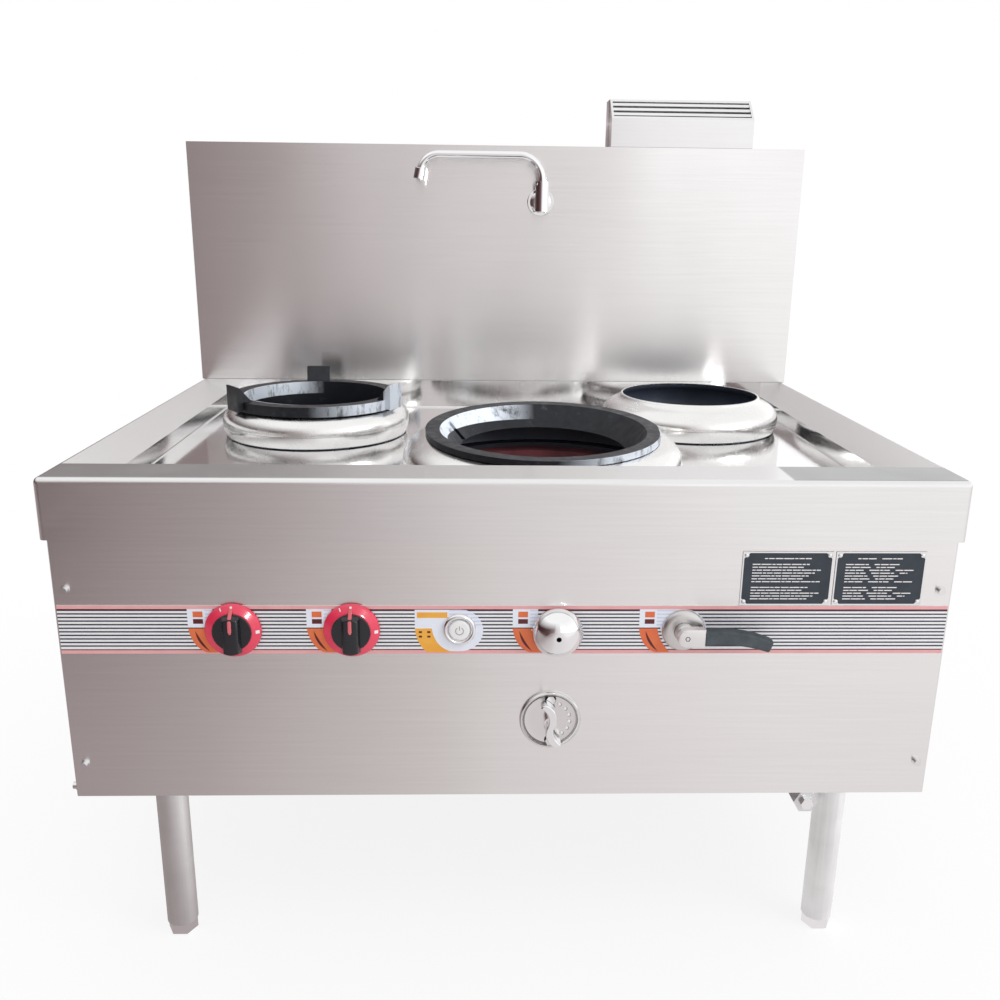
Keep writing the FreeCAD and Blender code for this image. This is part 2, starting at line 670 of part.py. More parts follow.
def pipe_path(points, bend):
    """Straight runs joined by tangent arcs of one bend radius."""
    edges = []
    start = points[0]
    for corner, after in zip(points[1:-1], points[2:]):
        before = (corner - start).normalize()
        onward = (after - corner).normalize()
        half_turn = before.getAngle(onward) / 2
        setback = bend * math.tan(half_turn)
        arc_start = corner - before * setback
        arc_end = corner + onward * setback
        inward = (onward - before).normalize()
        middle = corner + inward * (bend / math.cos(half_turn) - bend)
        edges.append(Part.LineSegment(start, arc_start).toShape())
        edges.append(Part.Arc(arc_start, middle, arc_end).toShape())
        start = arc_end
    edges.append(Part.LineSegment(start, points[-1]).toShape())
    return Part.Wire(edges)


def widest_bend(points, bend):
    """The bend radius, or what two square corners leave room for where they stand closer than two bends."""
    runs = [(after - before).Length for before, after in zip(points, points[1:])]
    rooms = [run * RUN_SHARE for run in runs[1:-1]] + [2 * run * RUN_SHARE for run in (runs[0], runs[-1])]
    return min([bend] + rooms)


def pipe(name, corners, radius, wall, bend):
    """A bent pipe through corners given from the middle, from the apron's face and from the floor."""
    points = []
    for across, behind, height in corners:
        place_now = (as_size(across), as_size(behind) - ORIGIN_BEHIND, as_size(height))
        points.append(FreeCAD.Vector(*[size.value for size in place_now]))
    path = pipe_path(points, widest_bend(points, bend.value))
    start_direction = points[1] - points[0]
    tubes = []
    for tube_radius in (radius.value, (radius - wall).value):
        section = Part.Wire(Part.Circle(points[0], start_direction, tube_radius).toShape())
        tubes.append(path.makePipeShell([section], True, False))
    thing = doc.addObject("Part::Feature", name)
    thing.Shape = tubes[0].cut(tubes[1])
    return thing


# ---------------------------------------------------------------------------------------------------------
# Worktop, splash and cabinet
# ---------------------------------------------------------------------------------------------------------
def apron_block(name, inset):
    """The worktop's outside, or its hollow underneath where inset is the sheet."""
    owner = body(name)
    front, rear, top = as_size(inset), BACK_INSIDE + inset, S.rim_height - inset
    plan = sketch(owner, "XY_Plane", APRON_BOTTOM - inset)
    rectangle(plan, (LEFT + inset, front), (RIGHT - inset, rear))
    block = pad(owner, plan, S.apron_height)

    def rounded(middle, edge):
        on_top = near(middle.z, top) and middle.y < rear.value - TOUCH
        corner = near(middle.y, front) and near(abs(middle.x), RIGHT - inset)
        return on_top or corner

    soften(owner, block, S.rim_radius - inset, rounded)
    return owner


def basin(name, grow):
    """The sunken space: vertical walls, with a sloping band down each side."""
    owner = body(name, 0, S.front_band - grow)
    half_top = S.width / 2 - S.rim_radius + grow
    half_low = S.width / 2 - S.side_band + grow
    top, fold, floor = S.rim_height - grow, S.rim_height - S.side_drop - grow, DECK - grow
    section = [(-half_low, floor), (half_low, floor), (half_low, fold)]
    section += [(half_top, top), (-half_top, top), (-half_low, fold)]
    drawing = outline(sketch(owner, "XZ_Plane"), section)
    pad(owner, drawing, SPLASH_FACE - S.front_band + 2 * as_size(grow), reverse=True)
    return owner


BURNERS = {
    "left": (S.left_across, LEFT_BEHIND, S.left_collar_radius),
    "centre": (S.centre_across, S.centre_behind, S.centre_collar_radius),
    "warmer": (S.warmer_across, WARMER_BEHIND, S.warmer_collar_radius),
}


def make_worktop():
    bowl = cut("worktop_bowl", apron_block("worktop_block", 0), [basin("basin_space", 0)])
    hollow = apron_block("worktop_hollow", S.top_sheet)
    under = cut("worktop_under", hollow, [basin("basin_outside", S.top_sheet)])
    holes = []
    for name, (across, behind, radius) in BURNERS.items():
        foot = (across, behind, DECK_UNDER - S.top_sheet)
        holes.append(rod(f"{name}_deck_hole", foot, S.side_drop, radius - S.collar_seat))
    low, high = riser_space(S.snug_gap)
    holes.append(box("flue_opening", (low[0], low[1], RIM_UNDER - S.top_sheet), high))
    riser_foot = (S.faucet_across, WATER_RISER, RIM_UNDER - S.top_sheet)
    holes.append(rod("water_opening", riser_foot, S.side_drop, S.branch_radius + S.free_gap))
    node(cut("worktop", bowl, [under] + holes), "worktop")


def riser_space(grow):
    """The flue riser's outside in the rear box, from its foot to the splash's top."""
    low = (HOOD_LEFT - grow, HOOD_FRONT - grow, S.riser_bottom)
    high = (HOOD_LEFT + S.hood_width + grow, REAR_RAIL_FRONT + grow, SPLASH_TOP)
    return low, high


def make_splash():
    low, high = (LEFT, SPLASH_FACE, S.rim_height), (RIGHT, BACK_INSIDE, SPLASH_TOP)
    inner_low = (LEFT + S.top_sheet, SPLASH_FACE + S.top_sheet, S.rim_height - S.top_sheet)
    inner_high = (RIGHT - S.top_sheet, S.body_depth, SPLASH_TOP - S.top_sheet)
    riser_low, riser_high = riser_space(S.snug_gap)
    mouth = box("splash_flue_mouth", riser_low, (riser_high[0], riser_high[1], SPLASH_TOP + S.top_sheet))
    tail = (S.faucet_across, SPLASH_FACE - S.top_sheet, S.faucet_height)
    faucet_hole = rod("splash_faucet_hole", tail, 3 * S.top_sheet, S.branch_radius + S.free_gap, TO_BACK)
    inside = box("splash_inside", inner_low, inner_high)
    shell = cut("back_splash", box("splash_outside", low, high), [inside, mouth, faucet_hole])
    node(shell, "back_splash")
    cover = box("splash_back_cover", (LEFT, BACK_INSIDE, S.rim_height), (RIGHT, S.body_depth, SPLASH_TOP))
    node(cover, "splash_back_cover")


def make_front_panel():
    owner = body("front_panel")
    plan = sketch(owner, "XY_Plane", S.body_bottom)
    rectangle(plan, (-SIDE, S.front_inset), (SIDE, S.front_inset + S.panel_return))
    block = pad(owner, plan, PANEL_TOP - S.body_bottom)

    def front_corner(middle, edge):
        return near(middle.y, S.front_inset) and near(abs(middle.x), SIDE)

    soften(owner, block, S.panel_corner, front_corner)
    inside = sketch(owner, "XY_Plane", S.body_bottom + S.panel_sheet)
    rectangle(inside, (-SIDE_INSIDE, PANEL_INSIDE), (SIDE_INSIDE, S.front_inset + 2 * S.panel_return))
    pocket(owner, inside, PANEL_TOP - S.body_bottom)
    holes = sketch(owner, "XZ_Plane")
    for across, height, radius in control_holes():
        circle(holes, across, height, radius)
    circle(holes, S.regulator_across, S.regulator_height, S.shaft_radius + S.free_gap)
    pocket(owner, holes, S.panel_return, reverse=False)
    node(owner, "front_panel")


def control_holes():
    """Holes that the strip and the panel share."""
    across = (S.left_knob_across, S.centre_knob_across, S.dome_across, S.lever_across)
    holes = [(x, S.control_height, S.panel_hole_radius) for x in across]
    holes.append((S.button_across, BUTTON_HEIGHT, S.barrel_radius + S.snug_gap))
    return holes


def make_side_panels():
    front = S.front_inset + S.panel_return
    for name, sign in (("left", -1), ("right", 1)):
        sides = sorted((sign * SIDE, sign * SIDE_INSIDE), key=lambda size: size.value)
        lips = sorted((sign * SIDE, sign * (SIDE - S.panel_return)), key=lambda size: size.value)
        top, bottom = PANEL_TOP, S.body_bottom
        wall = box(f"{name}_side_wall", (sides[0], front, bottom), (sides[1], BACK_INSIDE, top))
        lip_high = (lips[1], BACK_INSIDE, bottom + S.panel_sheet)
        lip = box(f"{name}_side_lip", (lips[0], front, bottom), lip_high)
        node(join(f"{name}_side_panel", [wall, lip]), f"{name}_side_panel")


def make_rear_panel():
    owner = body("rear_panel", 0, S.body_depth)
    face = rectangle(sketch(owner, "XZ_Plane"), (-SIDE, S.body_bottom), (SIDE, S.rim_height))
    pad(owner, face, S.panel_sheet)
    pipe_hole = sketch(owner, "XZ_Plane")
    circle(pipe_hole, S.water_across, S.gas_run_height, S.branch_radius + S.free_gap)
    pocket(owner, pipe_hole, 2 * S.panel_sheet, symmetric=False, reverse=True)
    slot = sketch(owner, "XZ_Plane")
    rectangle(slot, (-S.vent_width / 2, S.vent_low), (S.vent_width / 2, S.vent_low + S.vent_height))
    first = pocket(owner, slot, 2 * S.panel_sheet, reverse=True)
    column = owner.newObject("PartDesign::LinearPattern", "vent_column")
    column.Originals = [first]
    column.Direction = (slot, ["V_Axis"])
    tie(column, Occurrences=S.vent_count, Length=(S.vent_count - 1) * S.vent_step)
    owner.Tip = column
    node(owner, "rear_panel")


def make_frame():
    posts = []
    for side, sign in (("left", -1), ("right", 1)):
        across = sorted((sign * POST_INSIDE, sign * SIDE_INSIDE), key=lambda size: size.value)
        for end, front, back in (("front", PANEL_INSIDE, FRONT_RAIL_BACK),
                                 ("rear", REAR_RAIL_FRONT, BACK_INSIDE)):
            low, high = (across[0], front, PLATE_TOP), (across[1], back, FRAME_TOP)
            posts.append(square_tube(f"{side}_{end}_post", low, high, 2))
    levels = {"base": (PLATE_TOP, RAIL_TOP), "top": (FRAME_TOP - S.rail_side, FRAME_TOP)}
    for name, (low, high) in levels.items():
        rails = []
        for end, front, back in (("front", PANEL_INSIDE, FRONT_RAIL_BACK),
                                 ("rear", REAR_RAIL_FRONT, BACK_INSIDE)):
            corners = (-POST_INSIDE, front, low), (POST_INSIDE, back, high)
            rails.append(square_tube(f"{name}_{end}_rail", *corners, 0))
        rails += side_rails(name)
        if name == "base":
            node(group("base_rails", rails), "base_rails")
    beams = []
    for end, front in (("front", S.front_band - S.rail_side), ("rear", SPLASH_FACE - S.rail_side)):
        low = (-SIDE_INSIDE, front, DECK_UNDER - S.rail_side)
        high = (SIDE_INSIDE, front + S.rail_side, DECK_UNDER)
        beams.append(square_tube(f"deck_{end}_beam", low, high, 0))
    node(group("upper_frame", posts + rails + beams), "upper_frame")


def side_rails(name):
    rails = []
    low, high = (PLATE_TOP, RAIL_TOP) if name == "base" else (DECK_UNDER, DECK_UNDER + S.rail_side)
    lanes = [(-SIDE_INSIDE, -POST_INSIDE), (POST_INSIDE, SIDE_INSIDE)]
    if name == "base":
        for sign in (-1, 1):
            middle = sign * S.leg_spacing / 2
            lanes.append((middle - S.rail_side / 2, middle + S.rail_side / 2))
    for number, (left, right) in enumerate(lanes):
        corners = (left, FRONT_RAIL_BACK, low), (right, REAR_RAIL_FRONT, high)
        rails.append(square_tube(f"{name}_side_rail_{number}", *corners, 1))
    if name == "base":
        half = S.leg_spacing / 2 - S.rail_side / 2
        front = S.blower_behind - S.rail_side / 2
        corners = (-half, front, low), (half, front + S.rail_side, high)
        rails.append(square_tube("base_middle_rail", *corners, 0))
    return rails


# ---------------------------------------------------------------------------------------------------------
# Legs and feet
# ---------------------------------------------------------------------------------------------------------
LEG_PLACES = {
    "front_left": (-S.leg_spacing / 2, S.leg_behind),
    "front_right": (S.leg_spacing / 2, S.leg_behind),
    "rear_left": (-S.leg_spacing / 2, REAR_LEG),
    "rear_right": (S.leg_spacing / 2, REAR_LEG),
}


def make_legs():
    legs, plates, inserts = [], [], []
    leg_top = S.body_bottom + S.leg_plate_lift
    for name, (across, behind) in LEG_PLACES.items():
        leg = body(f"{name}_leg", across, behind, S.foot_height)
        section = circle(sketch(leg, "XY_Plane"), 0, 0, S.leg_radius)
        circle(section, 0, 0, S.leg_radius - S.leg_wall)
        pad(leg, section, leg_top - S.foot_height)
        legs.append(leg)
        make_foot(name, across, behind)
        half = S.leg_plate / 2
        low = (across - half, behind - half, leg_top)
        plates.append(box(f"{name}_plate", low, (across + half, behind + half, PLATE_TOP)))
        insert = body(f"{name}_insert", across, behind, S.foot_height)
        bush = circle(sketch(insert, "XY_Plane"), 0, 0, S.leg_radius - S.leg_wall - S.running_gap)
        circle(bush, 0, 0, S.foot_stem_radius + S.running_gap)
        pad(insert, bush, S.insert_height)
        inserts.append(insert)
    node(group("legs", legs), "legs")
    node(group("leg_fittings", plates + inserts), "leg_fittings")


def make_foot(name, across, behind):
    foot = body(f"{name}_foot", across, behind)
    corner = S.foot_flats / 2 / cosine(30)
    section = [(corner * cosine(60 * i), corner * sine(60 * i)) for i in range(6)]
    block = pad(foot, outline(sketch(foot, "XY_Plane"), section), S.foot_height)
    soften(foot, block, S.foot_chamfer, lambda middle, edge: near(middle.z, 0), "Chamfer")
    stem = circle(sketch(foot, "XY_Plane"), 0, 0, S.foot_stem_radius)
    pad(foot, stem, S.foot_height + S.foot_stem_length)
    node(foot, f"{name}_foot")


# ---------------------------------------------------------------------------------------------------------
# Burner collars, rings and chambers
# ---------------------------------------------------------------------------------------------------------
def collar_section(base, mouth, height, rounding, foot=0):
    """Half of a collar's section: a slightly swollen wall with a rounded shoulder and an open mouth."""
    sheet, belly = S.collar_sheet, S.collar_belly
    widest = base + S.collar_bulge
    swell = (S.collar_bulge * S.collar_bulge + belly * belly) / (2 * S.collar_bulge)
    corners = [(base, foot)] if foot else []
    corners += [(base, 0, swell), (widest, belly), (widest, height - rounding, rounding)]
    corners += [(widest - rounding, height), (mouth, height), (mouth, height - sheet)]
    corners += [(widest - rounding, height - sheet, -(rounding - sheet))]
    corners += [(widest - sheet, height - rounding), (widest - sheet, belly, -swell), (base - sheet, 0)]
    corners += [(base - sheet, foot)] if foot else []
    return corners


def make_collars():
    height = S.deck_drop + S.left_mouth_rise
    section = collar_section(S.left_collar_radius, S.left_mouth_radius, height, S.left_rounding)
    left = turned("left_collar", section, S.left_across, LEFT_BEHIND, DECK)
    node(left, "left_collar")
    make_centre_collar()
    make_warmer_collar()


def make_centre_collar():
    """The centre collar leans towards the cook, and is trimmed level where it meets the deck."""
    height = S.deck_drop + S.centre_mouth_rise
    rounding, spare = S.centre_rounding, -S.side_drop
    section = collar_section(S.centre_collar_radius, S.centre_mouth_radius, height, rounding, spare)
    lowered = [(corner[0], corner[1] - height, *corner[2:]) for corner in section]
    seat = S.rim_height + S.centre_mouth_rise
    lean = FreeCAD.Rotation(FreeCAD.Vector(1, 0, 0), S.centre_tilt.value)
    leaning = turned("leaning_collar", lowered, S.centre_across, S.centre_behind, seat, lean)
    reach = S.centre_collar_radius + S.side_drop
    low = (S.centre_across - reach, S.centre_behind - reach, DECK - 3 * S.side_drop)
    high = (S.centre_across + reach, S.centre_behind + reach, DECK)
    node(cut("centre_collar", leaning, [box("below_deck", low, high)]), "centre_collar")


def make_warmer_collar():
    sheet = S.collar_sheet
    height = S.deck_drop + S.warmer_rise - S.warmer_neck
    mouth = S.warmer_mouth_radius
    section = collar_section(S.warmer_collar_radius, mouth, height, S.warmer_rounding)
    top = height + S.warmer_neck
    neck = [(mouth + sheet, height), (mouth + sheet, top - S.warmer_lip)]
    neck += [(mouth + S.warmer_lip, top - S.warmer_lip), (mouth + S.warmer_lip, top), (mouth, top)]
    corners = [(as_size(corner[0]).value, as_size(corner[1]).value) for corner in section]
    at = [near(radius, mouth) and near(level, height) for radius, level in corners].index(True)
    section = section[:at] + neck + section[at + 1:]
    collar = turned("warmer_collar", section, S.warmer_across, WARMER_BEHIND, DECK)

    def lip_edge(middle, edge):
        radius = math.hypot(middle.x, middle.y)
        return middle.z > (top - S.warmer_lip).value - TOUCH and near(radius, mouth + S.warmer_lip)

    soften(collar, collar.Tip, S.warmer_lip / 3, lip_edge)
    node(collar, "warmer_collar")


def make_left_ring():
    """A flat cast ring with a locating skirt and three lugs that carry the wok."""
    outer, inner, height = S.left_ring_radius, S.left_ring_inner, S.left_ring_height
    skirt = S.left_mouth_radius - 2 * S.free_gap
    level = S.rim_height + S.left_mouth_rise
    around = FreeCAD.Rotation(FreeCAD.Vector(0, 0, 1), S.lug_around.value)
    section = [(inner, height), (inner, -S.left_ring_skirt), (skirt, -S.left_ring_skirt)]
    section += [(skirt, 0), (outer, 0), (outer, height)]
    ring = turned("left_wok_ring", section, S.left_across, LEFT_BEHIND, level, around)
    lug_outer = outer + S.lug_reach
    top = height + S.lug_rise
    side = [(lug_outer - S.lug_depth, height / 2), (lug_outer, S.free_gap), (lug_outer, top)]
    side += [(lug_outer - S.lug_top_depth, top), (lug_outer - S.lug_depth, height)]
    lug = pad(ring, outline(sketch(ring, "XZ_Plane"), side), S.lug_width, symmetric=True)
    ring_of(ring, lug, 3)
    node(ring, "left_wok_ring")


def make_centre_ring():
    """A flat cast rim with a cone inside it, slotted at one place; it leans with its collar."""
    edge, wall = S.centre_ring_edge, S.cone_wall
    outer, inner = S.centre_ring_radius, S.centre_ring_inner
    foot = edge - S.cone_drop
    section = [(outer, 0), (outer, edge), (inner, edge), (S.cone_radius, foot)]
    section += [(S.cone_radius + wall, foot), (inner + wall, 0)]
    level = S.rim_height + S.centre_mouth_rise
    lean = FreeCAD.Rotation(FreeCAD.Vector(1, 0, 0), S.centre_tilt.value)
    around = FreeCAD.Rotation(FreeCAD.Vector(0, 0, 1), S.slot_around.value)
    ring = turned("centre_wok_ring", section, S.centre_across, S.centre_behind, level, lean * around)
    slot = sketch(ring, "XY_Plane", foot - wall)
    rectangle(slot, (S.cone_radius - wall, -S.slot_width / 2), (inner - wall / 2, S.slot_width / 2))
    pocket(ring, slot, S.cone_drop + 2 * wall)
    node(ring, "centre_wok_ring")


CHAMBERS = {
    "left": (S.left_across, LEFT_BEHIND, S.left_chamber_radius, S.left_collar_radius),
    "centre": (S.centre_across, S.centre_behind, S.centre_chamber_radius, S.centre_collar_radius),
    "warmer": (S.warmer_across, WARMER_BEHIND, S.warmer_chamber_radius, S.warmer_collar_radius),
}


def tunnel_spaces(name, grow):
    """Boxes of the fire tunnel's inside, or its outside where grow is the sheet."""
    low = S.chamber_bottom + S.tunnel_rise - grow
    high = S.chamber_bottom + S.tunnel_rise + S.tunnel_height + grow
    half = S.tunnel_width / 2 + grow
    cross_low = (S.left_across, (SPLASH_FACE - S.tunnel_room) - half, low)
    cross = box(f"{name}_cross", cross_low, (S.warmer_across, (SPLASH_FACE - S.tunnel_room) + half, high))
    stem_low = (S.centre_across - half, S.centre_behind, low)
    stem_high = (S.centre_across + half, (SPLASH_FACE - S.tunnel_room) - half + grow, high)
    stem = box(f"{name}_stem", stem_low, stem_high)
    flue_low = (S.warmer_across - half, WARMER_BEHIND, low)
    flue = box(f"{name}_flue", flue_low, (S.warmer_across + half, HOOD_FRONT + grow, high))
    return cross, stem, flue


def make_chambers():
    chambers, linings, heads = [], [], []
    for name, (across, behind, radius, collar) in CHAMBERS.items():
        inner = radius - S.chamber_wall
        flange = collar - S.collar_seat + S.chamber_flange
        rise = DECK_UNDER - S.chamber_bottom
        section = [(S.burner_radius - S.burner_wall, 0), (radius, 0), (radius, rise - S.chamber_wall)]
        section += [(flange, rise - S.chamber_wall), (flange, rise), (inner, rise), (inner, S.chamber_wall)]
        section += [(S.burner_radius - S.burner_wall, S.chamber_wall)]
        if name == "warmer":
            section[0] = (0, 0)
            section[-1] = (0, S.chamber_wall)
        shell = turned(f"{name}_chamber_shell", section, across, behind, S.chamber_bottom)
        windows = tunnel_spaces(f"{name}_windows", 0)
        chambers.append(cut(f"{name}_fire_chamber", shell, list(windows)))
        if name != "warmer":
            linings.append(make_lining(name, across, behind, inner))
            heads.append(make_burner(name, across, behind))
    node(group("fire_chambers", chambers), "fire_chambers")
    node(group("firebrick_linings", linings), "firebrick_linings")
    node(group("burner_heads", heads), "burner_heads")


def make_lining(name, across, behind, inner):
    foot, rise = S.chamber_wall, DECK_UNDER - S.chamber_bottom - S.lining_top_gap
    outer = inner - S.snug_gap
    section = [(outer, foot), (outer, rise), (outer - S.lining_mouth, rise), (outer - S.lining_foot, foot)]
    ring = turned(f"{name}_lining_ring", section, across, behind, S.chamber_bottom)
    windows = tunnel_spaces(f"{name}_lining_windows", 0)
    return cut(f"{name}_firebrick", ring, list(windows))


def make_burner(name, across, behind):
    """A cast burner head: a cup with a ring of ports, standing over the hole in the chamber's floor."""
    radius, wall, height = S.burner_radius, S.burner_wall, S.burner_height
    section = [(radius - wall, 0), (radius, 0), (radius, height), (0, height), (0, height - wall)]
    section += [(radius - wall, height - wall)]
    head = turned(f"{name}_burner_head", section, across, behind, S.chamber_bottom + S.chamber_wall)
    port = circle(sketch(head, "XY_Plane"), radius - 2 * wall, 0, S.port_radius)
    first = pocket(head, port, 2 * height)
    ring_of(head, first, S.port_count).Reversed = True
    return head


def make_tunnels():
    drums = []
    for name, (across, behind, radius, _) in CHAMBERS.items():
        foot = (across, behind, S.chamber_bottom)
        drums.append(rod(f"{name}_drum", foot, DECK_UNDER - S.chamber_bottom, radius + S.snug_gap))
    outside = tunnel_spaces("tunnel_outside", S.duct_sheet)
    inside = tunnel_spaces("tunnel_inside", 0)
    tunnel = cut("fire_tunnel", join("tunnel_walls", outside[:2]), list(inside[:2]) + drums)
    elbow_end = box("elbow_end", (HOOD_LEFT, HOOD_FRONT, S.riser_bottom), (S.width, S.width, SPLASH_TOP))
    elbow = cut("flue_elbow", outside[2], [inside[2], drums[2], elbow_end])
    node(group("fire_tunnels", [tunnel, elbow]), "fire_tunnels")
    low, high = riser_space(0)
    wall = S.duct_sheet
    inner_low = tuple(value + wall for value in low)
    inner_high = (high[0] - wall, high[1] - wall, high[2] + wall)
    inside = box("riser_inside", inner_low, inner_high)
    mouth = tunnel_spaces("riser_mouth", 0)[2]
    node(cut("flue_riser", box("riser_outside", low, high), [inside, mouth]), "flue_riser")


def hood_outline(owner, grow):
    """Side view of the hood: an upright front, the louvred slope and a level top."""
    top, depth = S.hood_upright + S.hood_slope_rise - grow, S.hood_depth - grow
    corners = [(as_size(grow), -grow), (as_size(grow), S.hood_upright - grow / 2)]
    corners += [(S.hood_slope_run + grow / 2, top), (depth, top), (depth, -grow)]
    return outline(sketch(owner, "YZ_Plane"), corners)


def make_hood():
    left, sheet = HOOD_LEFT, as_size(S.top_sheet)
    outer = body("hood_outside", left, HOOD_FRONT, SPLASH_TOP)
    pad(outer, hood_outline(outer, 0 * sheet), S.hood_width)
    inner = body("hood_inside", left + sheet, HOOD_FRONT, SPLASH_TOP)
    pad(inner, hood_outline(inner, sheet), S.hood_width - 2 * sheet)
    window = body("hood_window", left + S.louvre_margin, HOOD_FRONT, SPLASH_TOP)
    margin = S.louvre_margin
    run, rise = S.hood_slope_run, S.hood_slope_rise
    low = (margin * run / rise, S.hood_upright + margin)
    high = (run - margin * run / rise, S.hood_upright + rise - margin)
    depth = 2 * margin
    section = [(low[0] - depth, low[1] + depth), (high[0] - depth, high[1] + depth)]
    section += [(high[0] + depth, high[1] - depth), (low[0] + depth, low[1] - depth)]
    pad(window, outline(sketch(window, "YZ_Plane"), section), S.hood_width - 2 * margin)
    node(cut("flue_hood", outer, [inner, window]), "flue_hood")
    blades = []
    for number in range(int(S.louvre_count.value)):
        share = (number + 1) / (S.louvre_count + 1)
        blade = body(f"louvre_{number}", left + sheet, HOOD_FRONT, SPLASH_TOP)
        front_edge = (share * run + sheet, S.hood_upright + share * rise - 2 * sheet)
        rear_edge = (front_edge[0] + S.louvre_width, front_edge[1] - 2 * S.louvre_sheet)
        corners = [front_edge, rear_edge]
        corners += [(edge[0], edge[1] + S.louvre_sheet) for edge in (rear_edge, front_edge)]
        pad(blade, outline(sketch(blade, "YZ_Plane"), corners), S.hood_width - 2 * sheet)
        blades.append(blade)
    node(group("flue_louvres", blades), "flue_louvres")


# ---------------------------------------------------------------------------------------------------------
# Gas
# ---------------------------------------------------------------------------------------------------------
def make_gas_knob(name, across):
    """Skirt, grip and spindle of a gas knob, made about +Z and turned to face the cook."""
    at = (across, STRIP_FACE, S.control_height, TO_FRONT)
    bore, start, rise = S.stem_radius + S.snug_gap, S.control_gap, S.knob_skirt_rise
    section = [(bore, start), (S.knob_radius, start), (S.knob_radius, start + S.knob_edge)]
    section += [(S.knob_face_radius + start, rise), (bore, rise)]
    node(turned(f"{name}_knob_skirt", section, *at), f"{name}_knob_skirt")
    grip = body(f"{name}_knob_grip", *at)
    face = circle(sketch(grip, "XY_Plane", rise), 0, 0, S.knob_face_radius)
    pad(grip, face, S.knob_face_rise - rise)
    half = S.knob_bar_width / 2
    bar = sketch(grip, "XY_Plane", rise)
    end = half * 2
    upper, lower = S.knob_bar_top - half / 4, -(S.knob_bar_tail - half / 4)
    corners = [(half, lower), (half, upper, end), (-half, upper), (-half, lower, end)]
    block = pad(grip, outline(bar, corners), S.knob_bar_rise - rise)

    def bar_edge(middle, edge):
        return near(middle.z, S.knob_bar_rise)

    soften(grip, block, S.bar_rounding, bar_edge)
    socket = circle(sketch(grip, "XY_Plane", rise), 0, 0, bore)
    pocket(grip, socket, S.stem_grip)
    node(grip, f"{name}_knob_grip")
    make_stem(f"{name}_valve_stem", across, rise + S.stem_grip - S.snug_gap)


def make_stem(label, across, front):
    """A spindle from inside its knob back into the valve."""
    stem = body(label, across, STRIP_FACE, S.control_height, TO_FRONT)
    back = S.valve_front + S.valve_length / 2
    shank = circle(sketch(stem, "XY_Plane", -back), 0, 0, S.stem_radius)
    pad(stem, shank, front + back)
    node(stem, label)


def valve(name, across, inlet_back):
    """A valve body with its neck through the panel; an optional inlet reaches back to the manifold."""
    front = (across, STRIP_FACE + S.strip_sheet + S.panel_sheet, S.control_height)
    neck = rod(f"{name}_neck", front, VALVE_FACE - front[1], S.neck_radius, TO_BACK)
    core_foot = (across, VALVE_FACE, S.control_height)
    core = rod(f"{name}_core", core_foot, S.valve_length, S.valve_radius, TO_BACK)
    pieces = [neck, core]
    if inlet_back:
        reach = S.manifold_behind - S.gas_pipe_radius - VALVE_BACK
        start = (across, VALVE_BACK, S.control_height)
        pieces.append(rod(f"{name}_inlet", start, reach, S.neck_radius, TO_BACK))
    depth = S.valve_front + S.valve_length / 2
    bore = rod(f"{name}_bore", front, depth, S.stem_radius + S.running_gap, TO_BACK)
    return cut(f"{name}_body", join(f"{name}_solid", pieces), [bore])


def make_gas():
    left, centre = S.left_knob_across, S.centre_knob_across
    valves = [valve("left_gas", left, True), valve("centre_gas", centre, True)]
    node(group("gas_valves", valves), "gas_valves")
    for name, across in (("left", left), ("centre", centre)):
        make_gas_knob(name, across)
    make_gas_pipes()


def make_gas_pipes():
    """The main runs under the body from the rear to a plug in front; a tee rises into the manifold."""
    radius, wall, across, height = S.gas_pipe_radius, S.pipe_wall, S.gas_main_across, S.gas_main_height
    front, tee_top = S.plug_front + S.plug_length, S.gas_main_height + 2 * S.gas_pipe_radius
    foot, tee = (across, front, height), (across, S.manifold_behind, height)
    length = S.body_depth + S.inlet_reach - front
    main = rod("gas_main_outside", foot, length, radius, TO_BACK)
    coupling = hexagon("gas_coupling", foot, S.socket_length, S.coupling_flats, TO_BACK)
    tee_front = (across, S.manifold_behind - S.socket_length / 2, height)
    tee_body = rod("gas_tee_body", tee_front, S.socket_length, S.socket_radius, TO_BACK)
    stub = rod("gas_tee", tee, tee_top - height, radius)
    inside = (across, front + S.socket_length / 2, height)
    bore = rod("gas_main_bore", inside, length, radius - wall, TO_BACK)
    plug_bore = rod("plug_bore", foot, S.socket_length, S.plug_thread + S.running_gap, TO_BACK)
    stub_bore = rod("gas_tee_bore", tee, tee_top - height, radius - wall - S.free_gap)
    solid = join("gas_main_solid", [main, coupling, tee_body, stub])
    sleeve = thread_sleeve("gas_thread", across, height, radius)
    node(cut("gas_main_pipe", solid, [bore, plug_bore, stub_bore, sleeve]), "gas_main_pipe")
    plug_foot = (across, S.plug_front, height)
    head = hexagon("plug_head", plug_foot, S.plug_length, S.plug_flats, TO_BACK)
    spigot = rod("plug_spigot", foot, S.socket_length / 2, S.plug_thread, TO_BACK)
    node(join("gas_plug", [head, spigot]), "gas_plug")
    end = S.left_knob_across - S.valve_length
    corners = [(across, S.manifold_behind, tee_top), (across, S.manifold_behind, S.control_height)]
    corners += [(end, S.manifold_behind, S.control_height)]
    run = pipe("gas_manifold_run", corners, radius, wall, 2 * S.pipe_bend)
    cap = rod("manifold_cap", (end - wall, S.manifold_behind, S.control_height), wall, radius, TO_RIGHT)
    manifold = join("gas_manifold", [run, cap])
    node(group("gas_pipework", [manifold] + burner_pipes()), "gas_pipework")


def thread_sleeve(name, across, height, radius):
    """What the thread takes off a supply pipe's rear end."""
    foot = (across, S.body_depth + S.inlet_reach - S.inlet_thread, height)
    outside = rod(f"{name}_outside", foot, 2 * S.inlet_thread, 2 * radius, TO_BACK)
    core = rod(f"{name}_core", foot, 2 * S.inlet_thread, radius - S.thread_depth, TO_BACK)
    return cut(name, outside, [core])


